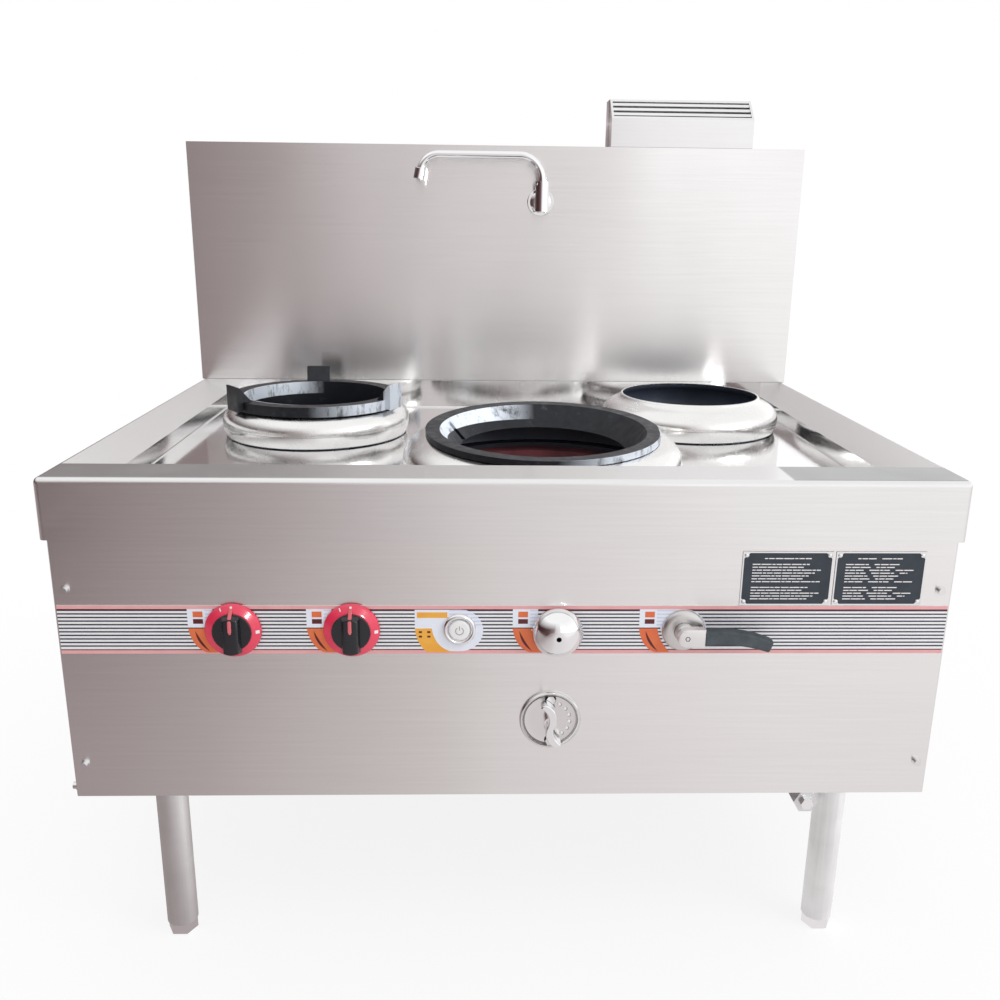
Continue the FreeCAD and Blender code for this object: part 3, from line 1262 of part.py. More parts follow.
def pipe_hangers():
    across, height = S.gas_main_across, S.gas_main_height
    hangers = []
    for number, share in enumerate((1, 3)):
        middle = S.body_depth * share / 4
        low = (across - S.socket_radius, middle, height - S.socket_radius)
        high = (S.leg_spacing / 2, middle + S.hanger_sheet, PLATE_TOP)
        hole_foot = (across, middle - S.hanger_sheet, height)
        radius = S.gas_pipe_radius + S.snug_gap
        hole = rod(f"hanger_hole_{number}", hole_foot, 3 * S.hanger_sheet, radius, TO_BACK)
        hangers.append(cut(f"hanger_{number}", box(f"hanger_plate_{number}", low, high), [hole]))
    return hangers


def small_pipe(name, corners):
    return pipe(name, corners, S.branch_radius, S.branch_wall, S.pipe_bend)


def burner_pipes():
    middle, level, run = VALVE_FACE + S.valve_length / 2, S.control_height, S.gas_run_height
    left, centre = S.left_knob_across, S.centre_knob_across
    left_end = LEFT_BEHIND - S.wind_box_half
    corners = [(left + S.valve_radius, middle, level), (LEFT_GAS_LANE, middle, level)]
    corners += [(LEFT_GAS_LANE, middle, run), (LEFT_GAS_LANE, left_end, run)]
    pipes = [small_pipe("left_burner_pipe", corners)]
    centre_end = S.centre_across - S.wind_box_half
    corners = [(centre + S.valve_radius, middle, level), (CENTRE_GAS_LANE, middle, level)]
    corners += [(CENTRE_GAS_LANE, middle, run), (CENTRE_GAS_LANE, S.centre_behind, run)]
    corners += [(centre_end, S.centre_behind, run)]
    return pipes + [small_pipe("centre_burner_pipe", corners)]


# ---------------------------------------------------------------------------------------------------------
# Air
# ---------------------------------------------------------------------------------------------------------
def wind_boxes():
    boxes = []
    half, wall = S.wind_box_half, S.duct_sheet
    for name in ("left", "centre"):
        across, behind = CHAMBERS[name][:2]
        low = (across - half, behind - half, S.chamber_bottom - S.wind_box_height)
        high = (across + half, behind + half, S.chamber_bottom)
        inner_low = tuple(value + wall for value in low)
        inner_high = (high[0] - wall, high[1] - wall, high[2] + wall)
        tools = [box(f"{name}_wind_inside", inner_low, inner_high)]
        tools += wind_box_holes(name, low)
        boxes.append(cut(f"{name}_wind_box", box(f"{name}_wind_outside", low, high), tools))
    return boxes


def wind_box_holes(name, corner):
    """Where air and gas come in: the left box takes both in front, the centre one takes gas on its left."""
    wall, gas = S.duct_sheet, S.branch_radius - S.branch_wall
    air_across = S.left_across if name == "left" else S.centre_branch_across
    air_foot = (air_across, corner[1] - wall, S.regulator_height)
    air = rod(f"{name}_air_hole", air_foot, 3 * wall, S.air_branch_radius - wall, TO_BACK)
    if name == "left":
        gas_foot, turn = (LEFT_GAS_LANE, corner[1] - wall, S.gas_run_height), TO_BACK
    else:
        gas_foot, turn = (corner[0] - wall, S.centre_behind, S.gas_run_height), TO_RIGHT
    return [air, rod(f"{name}_gas_hole", gas_foot, 3 * wall, gas, turn)]


def outlet_box(name, grow):
    half, low = S.blower_width / 2 + grow, S.blower_height - S.blower_radius
    corner = (S.blower_across - half, S.trunk_behind, low - grow)
    return box(name, corner, (S.blower_across + half, S.blower_behind, low + S.outlet_height + grow))


def make_ducts():
    radius, wall, height = S.trunk_radius, S.duct_sheet, S.regulator_height
    foot = (S.trunk_left, S.trunk_behind, height)
    length = S.trunk_right - S.trunk_left
    outside = [rod("trunk_outside", foot, length, radius, TO_RIGHT)]
    inner_foot = (S.trunk_left + wall, S.trunk_behind, height)
    tools = [rod("trunk_inside", inner_foot, length - 2 * wall, radius - wall, TO_RIGHT)]
    branches = (("left", S.left_across, LEFT_BEHIND), ("centre", S.centre_branch_across, S.centre_behind))
    for name, across, behind in branches:
        start, reach = (across, S.trunk_behind, height), behind - S.wind_box_half - S.trunk_behind
        outside.append(rod(f"{name}_air_branch", start, reach, S.air_branch_radius, TO_BACK))
        tools.append(rod(f"{name}_air_bore", start, reach, S.air_branch_radius - wall, TO_BACK))
    tools.append(outlet_box("trunk_window", -wall))
    shaft_foot = (S.regulator_across, S.trunk_behind - 2 * radius, height)
    tools.append(rod("damper_bearings", shaft_foot, 4 * radius, S.shaft_radius + S.running_gap, TO_BACK))
    trunk = cut("air_trunk", join("trunk_solid", outside), tools)
    node(group("air_ducts", [trunk] + wind_boxes()), "air_ducts")


def make_blower():
    across, behind, height = S.blower_across, S.blower_behind, S.blower_height
    half, wall = S.blower_width / 2, S.duct_sheet
    drum_foot = (across - half, behind, height)
    drum = rod("blower_drum", drum_foot, S.blower_width, S.blower_radius, TO_RIGHT)
    trunk_foot = (S.trunk_left, S.trunk_behind, S.regulator_height)
    trunk_length = S.trunk_right - S.trunk_left + wall
    tools = [rod("blower_trunk_gap", trunk_foot, trunk_length, S.trunk_radius + S.snug_gap, TO_RIGHT)]
    hollow_foot = (across - half + wall, behind, height)
    hollow_length = S.blower_width - 2 * wall
    tools.append(rod("blower_hollow", hollow_foot, hollow_length, S.blower_radius - wall, TO_RIGHT))
    tools.append(outlet_box("blower_outlet_inside", -wall))
    tools.append(rod("blower_inlet_hole", drum_foot, half, S.blower_inlet, TO_RIGHT))
    middle = (across, behind, height)
    tools.append(rod("blower_shaft_hole", middle, S.blower_width, S.motor_shaft + S.free_gap, TO_RIGHT))
    solid = join("blower_solid", [drum, outlet_box("blower_outlet", 0)])
    node(cut("blower_housing", solid, tools), "blower_housing")
    motor_foot = (across + half, behind, height)
    motor = rod("motor_can", motor_foot, S.motor_length, S.motor_radius, TO_RIGHT)
    bearing = rod("motor_bearing", motor_foot, S.motor_length / 2, S.motor_shaft + S.running_gap, TO_RIGHT)
    node(cut("blower_motor", motor, [bearing]), "blower_motor")
    lane = S.rail_side / 2
    low = (across + half + wall, behind - lane, RAIL_TOP)
    high = (across + half + S.motor_length - wall, behind + lane, height)
    around = rod("bracket_saddle", motor_foot, S.motor_length, S.motor_radius + S.snug_gap, TO_RIGHT)
    bracket = cut("blower_bracket", box("bracket_block", low, high), [around])
    node(group("brackets", pipe_hangers() + [bracket]), "brackets")
    make_impeller()


def make_impeller():
    """A squirrel-cage wheel: back disc, front ring, blades, hub and the motor's shaft."""
    width, radius, back = S.impeller_width, S.impeller_radius, S.impeller_back
    left = S.blower_across + S.blower_width / 2 - S.duct_sheet - S.running_room - width
    wheel = body("blower_impeller", left, S.blower_behind, S.blower_height, TO_RIGHT)
    inner = radius - S.blade_depth
    hub = 2 * S.motor_shaft
    shaft_end = width + S.motor_length / 2
    section = [(0, width / 2), (hub, width / 2), (hub, width - back)]
    section += [(radius, width - back), (radius, width), (S.motor_shaft, width)]
    section += [(S.motor_shaft, shaft_end), (0, shaft_end)]
    revolve(wheel, outline(sketch(wheel, "XZ_Plane"), section))
    rim = circle(sketch(wheel, "XY_Plane"), 0, 0, radius)
    circle(rim, 0, 0, inner)
    pad(wheel, rim, back)
    blade = sketch(wheel, "XY_Plane", back / 2)
    rectangle(blade, (inner - S.free_gap, -S.duct_sheet / 2), (radius - S.free_gap, S.duct_sheet / 2))
    first = pad(wheel, blade, width - back)
    ring_of(wheel, first, S.blade_count)
    node(wheel, "blower_impeller")


def make_regulator():
    at = (S.regulator_across, S.front_inset, S.regulator_height)
    floor, rim, radius = S.regulator_plate_sheet, S.regulator_rim, S.regulator_radius
    bore = S.shaft_radius + S.free_gap
    section = [(bore, 0), (radius, 0), (radius, S.regulator_rim_rise), (radius - rim, S.regulator_rim_rise)]
    section += [(radius - rim, floor), (bore, floor)]
    plate = turned("regulator_plate", section, *at, TO_FRONT)

    def rim_edge(middle, edge):
        return near(middle.z, S.regulator_rim_rise)

    soften(plate, plate.Tip, rim / 3, rim_edge)
    hole = sketch(plate, "XY_Plane", -floor)
    start = 90 - S.index_start
    circle(hole, S.index_radius * cosine(start), S.index_radius * sine(start), S.index_hole)
    first = pocket(plate, hole, 3 * floor)
    ring_of(plate, first, S.index_count, S.index_span).Reversed = True
    node(plate, "regulator_plate")
    bolts = []
    for name, sign in (("top", 1), ("bottom", -1)):
        foot = (S.regulator_across, S.front_inset - floor, S.regulator_height + sign * S.bolt_circle)
        bolts.append(hexagon(f"{name}_bolt", foot, S.bolt_head, S.bolt_flats, TO_FRONT))
    make_regulator_handle(at)
    make_damper(at)
    return bolts


def make_regulator_handle(at):
    """A wavy grip across the plate, drawn as two arcs down each side."""
    lean = FreeCAD.Rotation(FreeCAD.Vector(0, 0, 1), S.handle_lean.value)
    handle = body("regulator_handle", *at, TO_FRONT * lean)
    half, wave, blunt = S.handle_width / 2, S.handle_wave, S.handle_width * 3 / 5
    end = S.handle_length / 2 - half / 2
    start = S.regulator_plate_sheet + S.handle_gap
    corners = [(half, -end, -wave), (half, 0, wave), (half, end, blunt), (-half, end, -wave)]
    corners += [(-half, 0, wave), (-half, -end, blunt)]
    grip = sketch(handle, "XY_Plane", start)
    block = pad(handle, outline(grip, corners), S.handle_rise)

    def front_edge(middle, edge):
        return near(middle.z, start + S.handle_rise)

    soften(handle, block, half / 3, front_edge)
    boss = circle(sketch(handle, "XY_Plane", S.regulator_plate_sheet + S.free_gap), 0, 0, 2 * S.shaft_radius)
    pad(handle, boss, S.handle_gap + half)
    socket = circle(sketch(handle, "XY_Plane"), 0, 0, S.shaft_radius + S.snug_gap)
    pocket(handle, socket, start + S.handle_rise / 2)
    node(handle, "regulator_handle")


def make_damper(at):
    start = S.regulator_plate_sheet + S.handle_gap + S.handle_rise / 2 - S.snug_gap
    foot = (at[0], S.front_inset - start, S.regulator_height)
    length = S.trunk_behind + S.trunk_radius - foot[1]
    shaft = rod("damper_rod", foot, length, S.shaft_radius, TO_BACK)
    flap_radius = S.trunk_radius - S.duct_sheet - S.flap_gap
    flap_foot = (at[0] - S.flap_sheet / 2, S.trunk_behind, S.regulator_height)
    disc = rod("damper_disc", flap_foot, S.flap_sheet, flap_radius, TO_RIGHT)
    node(join("damper", [shaft, disc]), "damper")


# ---------------------------------------------------------------------------------------------------------
# Power button, dome tap and lever valve
# ---------------------------------------------------------------------------------------------------------
def make_button():
    at = (S.button_across, STRIP_FACE, BUTTON_HEIGHT, TO_FRONT)
    bore = S.cap_radius + S.free_gap
    depth = S.cap_length - S.cap_rise + S.button_travel + S.free_gap
    section = [(0, -S.barrel_length), (S.barrel_radius, -S.barrel_length), (S.barrel_radius, 0)]
    section += [(S.bezel_radius, 0), (S.bezel_radius, S.bezel_rise), (bore, S.bezel_rise), (bore, -depth)]
    section += [(0, -depth)]
    switch = turned("button_switch", section, *at)

    def bezel_edge(middle, edge):
        return near(middle.z, S.bezel_rise) and near(math.hypot(middle.x, middle.y), S.bezel_radius)

    soften(switch, switch.Tip, S.bezel_rise / 2, bezel_edge)
    node(switch, "button_switch")
    cap = body("button_cap", *at)
    face = circle(sketch(cap, "XY_Plane", S.cap_rise - S.cap_length), 0, 0, S.cap_radius)
    block = pad(cap, face, S.cap_length)
    soften(cap, block, S.control_gap, lambda middle, edge: near(middle.z, S.cap_rise))
    node(cap, "button_cap")


def make_dome_tap():
    at = (S.dome_across, STRIP_FACE, S.control_height, TO_FRONT)
    start, widest = S.control_gap, S.control_gap + S.dome_belly
    lean_in, rise = S.dome_radius - S.dome_base_radius, S.dome_rise - widest
    foot_arc = (lean_in * lean_in + S.dome_belly * S.dome_belly) / (2 * lean_in)
    reach = S.dome_radius - S.dome_hole_radius
    top_arc = (reach * reach + rise * rise) / (2 * rise)
    section = [(0, start), (S.dome_base_radius, start, foot_arc), (S.dome_radius, widest, top_arc)]
    section += [(S.dome_hole_radius, S.dome_rise), (S.dome_hole_radius, S.dome_rise - S.dome_hole_depth)]
    section += [(0, S.dome_rise - S.dome_hole_depth)]
    knob = turned("dome_knob", section, *at)
    spindle = circle(sketch(knob, "XY_Plane", -(S.valve_front + S.valve_length / 2)), 0, 0, S.stem_radius)
    pad(knob, spindle, S.valve_front + S.valve_length / 2 + start + S.dome_belly)
    node(knob, "dome_knob")


def make_lever():
    at = (S.lever_across, STRIP_FACE, S.control_height, TO_FRONT)
    bore = S.lever_hub_radius + S.free_gap
    section = [(bore, 0), (S.rose_radius, 0), (S.rose_radius, S.rose_rise / 2)]
    section += [(S.rose_radius - S.rose_rise / 2, S.rose_rise), (bore, S.rose_rise)]
    node(turned("lever_rose", section, *at), "lever_rose")
    arm = body("lever_arm", *at)
    block_back = S.lever_proud - S.lever_block_depth
    hub = circle(sketch(arm, "XY_Plane", S.control_gap), 0, 0, S.lever_hub_radius)
    pad(arm, hub, block_back)
    half = S.lever_block_width / 2
    right = S.lever_block_length - half
    plan = rectangle(sketch(arm, "XY_Plane", block_back), (-half, -half), (right, half))
    block = pad(arm, plan, S.lever_block_depth)

    def block_edge(middle, edge):
        corner = near(middle.x, -half) and near(abs(middle.y), half)
        return corner or near(middle.z, S.lever_proud)

    soften(arm, block, S.rose_rise / 4, block_edge)
    spindle = circle(sketch(arm, "XY_Plane", -(S.valve_front + S.valve_length / 2)), 0, 0, S.stem_radius)
    pad(arm, spindle, S.valve_front + S.valve_length / 2 + block_back)
    screw = circle(sketch(arm, "XY_Plane", S.lever_proud - S.dome_hole_depth), 0, 0, S.dome_hole_radius)
    pocket(arm, screw, 2 * S.dome_hole_depth)
    node(arm, "lever_arm")
    make_grip(at, right, block_back + S.lever_block_depth / 2)


def make_grip(at, root, middle_level):
    """A rubber sleeve that tapers and droops towards its end."""
    grip = body("lever_grip", *at)
    half, end_half, tip = S.grip_width / 2, S.grip_end_width / 2, root + S.grip_length
    curve = 2 * S.grip_length
    lower_tip = tip - S.grip_end_width / 3
    corners = [(root, half, -curve), (tip, end_half - S.grip_drop)]
    corners += [(lower_tip, -end_half - S.grip_drop, curve), (root, -half)]
    side = outline(sketch(grip, "XY_Plane", middle_level - S.grip_depth / 2), corners)
    block = pad(grip, side, S.grip_depth)
    soften(grip, block, S.grip_depth / 4, lambda middle, edge: middle.x > root.value + TOUCH)
    node(grip, "lever_grip")


# ---------------------------------------------------------------------------------------------------------
# Water
# ---------------------------------------------------------------------------------------------------------
def make_water():
    dome, lever = S.dome_across, S.lever_across
    node(group("water_valves", [valve("dome", dome, False), valve("lever", lever, False)]), "water_valves")
    middle, run = VALVE_FACE + S.valve_length / 2, S.gas_run_height
    level, high = S.control_height, S.control_height + S.valve_radius
    link = high + 2 * S.pipe_bend + S.branch_radius
    supply, lane = S.water_across, S.water_lane
    rear = S.body_depth + S.inlet_reach
    corners = [(supply, rear, run), (supply, middle, run), (supply, middle, level)]
    corners += [(lever + S.valve_radius, middle, level)]
    sleeve = thread_sleeve("water_thread", supply, run, S.branch_radius)
    pipes = [cut("threaded_water_pipe", small_pipe("water_supply_pipe", corners), [sleeve])]
    corners = [(lever, middle, high), (lever, middle, link), (dome, middle, link), (dome, middle, high)]
    pipes.append(small_pipe("water_link_pipe", corners))
    faucet, back = S.faucet_across, WATER_RISER
    corners = [(dome + S.valve_radius, middle, level), (lane, middle, level), (lane, middle, run)]
    corners += [(lane, back, run), (faucet, back, run), (faucet, back, S.faucet_height)]
    corners += [(faucet, SPLASH_FACE + S.tail_length, S.faucet_height)]
    pipes.append(small_pipe("faucet_pipe", corners))
    node(group("water_pipes", pipes), "water_pipes")


def make_faucet():
    across, height = S.faucet_across, S.faucet_height
    front = SPLASH_FACE - S.flange_rise
    flange = rod("faucet_flange", (across, front, height), S.flange_rise, S.flange_radius, TO_BACK)
    axis = (across, SPOUT_BEHIND, height)
    stub = rod("faucet_stub", axis, S.faucet_offset, S.spout_radius + S.spout_wall * 3, TO_BACK)
    barrel_foot = (across, SPOUT_BEHIND, height - S.socket_below)
    barrel = rod("faucet_barrel", barrel_foot, S.socket_below + S.socket_above, S.socket_barrel_radius)
    tail_reach = S.faucet_offset + S.tail_length
    tail = rod("faucet_tail", axis, tail_reach, S.branch_radius, TO_BACK)
    solid = join("faucet_solid", [flange, stub, barrel, tail])
    bore_foot = (across, SPOUT_BEHIND, height + S.socket_above - S.spout_depth)
    bore = rod("faucet_bore", bore_foot, 2 * S.spout_depth, S.spout_radius + S.running_gap)
    water_way = rod("faucet_water_way", axis, tail_reach, S.spout_radius - 3 * S.spout_wall, TO_BACK)
    way_up = rod("faucet_way_up", axis, S.socket_above, S.spout_radius - 3 * S.spout_wall)
    node(cut("faucet_socket", solid, [bore, water_way, way_up]), "faucet_socket")
    make_spout(across, height)


def make_spout(across, height):
    """A tube that rises from the socket, runs level to the left and turns down to its aerator."""
    foot = S.socket_above - S.spout_depth
    rise, reach = S.spout_rise, S.spout_reach
    first, second, turn = S.spout_bend, S.nozzle_bend, S.nozzle_turn
    spout = body("faucet_spout", across, SPOUT_BEHIND, height)
    run_end = -(reach - second * sine(turn))
    nozzle = (run_end - second * sine(turn), rise - second + second * cosine(turn))
    path = sketch(spout, "XZ_Plane")
    corners = [(0, foot), (0, rise - first, first), (-first, rise), (run_end, rise, second), nozzle]
    outline(path, corners, closed=False)
    ring = circle(sketch(spout, "XY_Plane", foot), 0, 0, S.spout_radius)
    circle(ring, 0, 0, S.spout_radius - S.spout_wall)
    doc.recompute()
    tube = spout.newObject("PartDesign::AdditivePipe", "spout_tube")
    tube.Profile = ring
    tube.Spine = (path, [f"Edge{i + 1}" for i in range(4)])
    node(spout, "faucet_spout")
    lean = FreeCAD.Rotation(FreeCAD.Vector(0, 1, 0), -(90 + turn.value))
    length, radius = S.aerator_length, S.aerator_radius
    overlap = S.spout_wall * 3
    start = (across + nozzle[0], SPOUT_BEHIND, height + nozzle[1])
    bore = S.spout_radius + S.free_gap
    mouth = S.spout_radius - S.spout_wall
    section = [(bore, -overlap), (radius, -overlap), (radius, length - overlap)]
    section += [(mouth, length - overlap), (mouth, S.snug_gap), (bore, S.snug_gap)]
    aerator = turned("spout_aerator", section, *start, lean)

    def end_edge(middle, edge):
        return near(math.hypot(middle.x, middle.y), radius)

    soften(aerator, aerator.Tip, S.spout_wall, end_edge)
    node(aerator, "spout_aerator")


# ---------------------------------------------------------------------------------------------------------
# Printed strip, nameplates and screws
# ---------------------------------------------------------------------------------------------------------
def make_strip():
    strip = body("control_strip", 0, S.front_inset)
    inset = SIDE - S.panel_corner
    face = rectangle(sketch(strip, "XZ_Plane"), (-inset, STRIP_LOW), (inset, STRIP_HIGH))
    for across, height, radius in control_holes():
        circle(face, across, height, radius)
    pad(strip, face, S.strip_sheet)
    node(strip, "control_strip")


def make_nameplates():
    plates, rivets = [], []
    low, high = STRIP_HIGH + S.plate_lift, APRON_BOTTOM - S.plate_drop
    last = S.width / 2 - S.plate_inset
    face = S.front_inset - S.plate_sheet
    for name, middle in (("left", last - S.plate_step), ("right", last)):
        left, right = middle - S.plate_width / 2, middle + S.plate_width / 2
        plates.append(box(f"{name}_nameplate", (left, face, low), (right, S.front_inset, high)))
        for side in (left + S.rivet_inset, right - S.rivet_inset):
            for level in (low + S.rivet_inset, high - S.rivet_inset):
                rivet = doc.addObject("Part::Cone", "rivet")
                tie(rivet, Radius1=S.rivet_radius, Radius2=S.rivet_radius / 2, Height=S.rivet_rise)
                rivets.append(place(rivet, side, face, level, TO_FRONT))
    node(group("nameplates", plates), "nameplates")
    node(group("nameplate_rivets", rivets), "nameplate_rivets")


def screw(name, foot, turn):
    """A washer and a head, standing out of the panel."""
    washer = rod(f"{name}_washer", foot, S.washer_sheet, S.washer_radius, turn)
    head = rod(f"{name}_head", foot, S.washer_sheet + S.screw_head, S.screw_radius, turn)
    return join(name, [washer, head])


def make_screws(bolts):
    front = []
    for side in (-1, 1):
        for level in (S.body_bottom + S.screw_lift, STRIP_HIGH + S.screw_above):
            foot = (side * (SIDE - S.screw_inset), S.front_inset, level)
            front.append(screw("panel_screw", foot, TO_FRONT))
    sides = []
    to_left = FreeCAD.Rotation(FreeCAD.Vector(0, 1, 0), -90)
    for number in range(3):
        behind = S.side_screw_front + number * S.side_screw_step
        sides.append(screw("side_screw", (-SIDE, behind, S.side_screw_height), to_left))
        if number:
            sides.append(screw("side_screw", (SIDE, behind, S.side_screw_height), TO_RIGHT))
    node(group("panel_screws", front + sides + bolts), "panel_screws")


# ---------------------------------------------------------------------------------------------------------
# Build, check and write
# ---------------------------------------------------------------------------------------------------------
def build():
    make_worktop()
    make_splash()
    make_front_panel()
    make_side_panels()
    make_rear_panel()
    make_frame()
    make_legs()
    make_collars()
    make_left_ring()
    make_centre_ring()
    make_chambers()
    make_tunnels()
    make_hood()
    make_gas()
    make_ducts()
    make_blower()
    bolts = make_regulator()
    make_button()
    make_dome_tap()
    make_lever()
    make_water()
    make_faucet()
    make_strip()
    make_nameplates()
    make_screws(bolts)
    doc.recompute()


def check():
    for thing in doc.Objects:
        if "Invalid" in thing.State or "Error" in thing.State:
            raise ValueError(f"{thing.Label} did not build: {thing.State}")
    for thing in NODES:
        shape = thing.Shape
        if shape.isNull() or not shape.isValid() or not shape.Solids:
            raise ValueError(f"{thing.Label} is not a valid solid")


def write():
    os.makedirs("parts", exist_ok=True)
    for thing in NODES:
        thing.Shape.exportStep(f"parts/{thing.Label}.step")
        print(thing.Label, len(thing.Shape.Solids), round(thing.Shape.Volume))
    print(len(NODES), "pieces")


build()
check()
write()
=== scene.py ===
import json
import math

import bmesh
import bpy
from mathutils import Matrix, Vector

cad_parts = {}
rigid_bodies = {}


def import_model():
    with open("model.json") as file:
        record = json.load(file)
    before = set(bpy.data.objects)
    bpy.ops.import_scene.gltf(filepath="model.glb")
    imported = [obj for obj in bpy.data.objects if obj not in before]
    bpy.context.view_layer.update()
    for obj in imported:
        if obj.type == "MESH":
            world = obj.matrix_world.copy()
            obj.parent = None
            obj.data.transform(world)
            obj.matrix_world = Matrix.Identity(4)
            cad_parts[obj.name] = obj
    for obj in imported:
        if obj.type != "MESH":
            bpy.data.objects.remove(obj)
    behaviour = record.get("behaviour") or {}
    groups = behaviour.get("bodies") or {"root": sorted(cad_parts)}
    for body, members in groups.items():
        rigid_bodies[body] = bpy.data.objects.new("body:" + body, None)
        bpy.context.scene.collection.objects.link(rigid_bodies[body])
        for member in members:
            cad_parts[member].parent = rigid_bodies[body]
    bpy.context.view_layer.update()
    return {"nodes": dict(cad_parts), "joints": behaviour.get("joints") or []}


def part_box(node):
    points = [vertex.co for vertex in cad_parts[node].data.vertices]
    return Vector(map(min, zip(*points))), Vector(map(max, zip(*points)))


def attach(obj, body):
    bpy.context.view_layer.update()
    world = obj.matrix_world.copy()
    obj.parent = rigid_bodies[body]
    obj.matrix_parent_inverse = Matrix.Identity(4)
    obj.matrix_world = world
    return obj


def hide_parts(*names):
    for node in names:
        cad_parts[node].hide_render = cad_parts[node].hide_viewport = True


# The looks of the wok range: the finish of every surface, and finer pieces for what is turned, cast, moulded
# or printed.  Metres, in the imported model's own frame: +X to the cook's right, +Y away from the cook.

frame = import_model()
NODES = frame["nodes"]
JOINTS = {joint["name"]: joint for joint in frame["joints"]}
MM = 0.001
FULL_TURN = 2 * math.pi


# ---- Material helpers ----
def new_material(name):
    """An empty node material and its tree."""
    material = bpy.data.materials.new(name)
    material.use_nodes = True
    material.node_tree.nodes.clear()
    return material, material.node_tree


def put(tree, socket, value):
    """Gives a socket a number, a colour or another node's output."""
    if isinstance(value, bpy.types.NodeSocket):
        tree.links.new(value, socket)
    elif isinstance(value, tuple) and len(value) == 3 and socket.type == "RGBA":
        socket.default_value = (*value, 1.0)
    else:
        socket.default_value = value


def add(tree, kind, inputs=None, **settings):
    """A shader node; inputs gives its sockets, by name or number, what put takes."""
    made = tree.nodes.new("ShaderNode" + kind)
    for key, value in settings.items():
        setattr(made, key, value)
    for key, value in (inputs or {}).items():
        put(tree, made.inputs[key], value)
    return made


def end_with(tree, shader, kind="OutputMaterial"):
    """Joins the last shader to the output."""
    tree.links.new(shader.outputs[0], add(tree, kind).inputs[0])


def maths(tree, operation, *values):
    """One Math node for one or two values, and a chain of them for more."""
    total = add(tree, "Math", dict(enumerate(values[:2])), operation=operation).outputs[0]
    for value in values[2:]:
        total = add(tree, "Math", {0: total, 1: value}, operation=operation).outputs[0]
    return total


def place(tree, scale=(1.0, 1.0, 1.0)):
    """The object's own coordinates in metres, stretched by scale."""
    where = add(tree, "TexCoord").outputs["Object"]
    return add(tree, "Mapping", {"Vector": where, "Scale": scale}).outputs[0]


def noise(tree, scale, stretch=(1.0, 1.0, 1.0), detail=4.0, roughness=0.55):
    return add(tree, "TexNoise", {"Vector": place(tree, stretch), "Scale": scale, "Detail": detail,
                                  "Roughness": roughness}).outputs[0]


def spread(tree, value, low, high, out_low=0.0, out_high=1.0):
    """Maps low..high of value to out_low..out_high, and keeps it there."""
    return add(tree, "MapRange", {0: value, 1: low, 2: high, 3: out_low, 4: out_high}, clamp=True).outputs[0]


def blend_colour(tree, factor, first, second):
    return add(tree, "Mix", {0: factor, 6: first, 7: second}, data_type="RGBA").outputs[2]


def ramp(tree, value, stops):
    """A colour ramp; stops are (place along it, colour)."""
    made = add(tree, "ValToRGB", {0: value})
    band = made.color_ramp
    while len(band.elements) < len(stops):
        band.elements.new(0.5)
    for element, (at, colour) in zip(band.elements, stops):
        element.position = at
        element.color = (*colour, 1.0)
    return made.outputs[0]


def axes(tree):
    """The object's own x, y and z in metres."""
    return add(tree, "SeparateXYZ", {0: add(tree, "TexCoord").outputs["Object"]}).outputs


def distance(tree, east, north):
    """The length of a level line that goes so far east and so far north."""
    squares = maths(tree, "ADD", maths(tree, "MULTIPLY", east, east), maths(tree, "MULTIPLY", north, north))
    return maths(tree, "SQRT", squares)


def from_axis(tree, centre):
    """Distance from an upright axis through centre."""
    east, north, _ = axes(tree)
    return distance(tree, maths(tree, "SUBTRACT", east, centre.x), maths(tree, "SUBTRACT", north, centre.y))


GRAIN_ALONG = {"x": (0.02, 1.0, 1.0), "y": (1.0, 0.02, 1.0), "z": (1.0, 1.0, 0.02)}
SCRATCH_TONE = (0.95, 0.95, 0.95)
# A darker tone that paints a reflection on the rim's front band.
BAND_REFLECTION_TONE = (0.34, 0.345, 0.345)
SOOT_TONE = (0.030, 0.034, 0.045)
WORN_IRON = (0.30, 0.33, 0.38)
# A pale bluish tone for the painted reflection on the wok rings.
GLINT_TONE = (0.80, 0.86, 0.95)


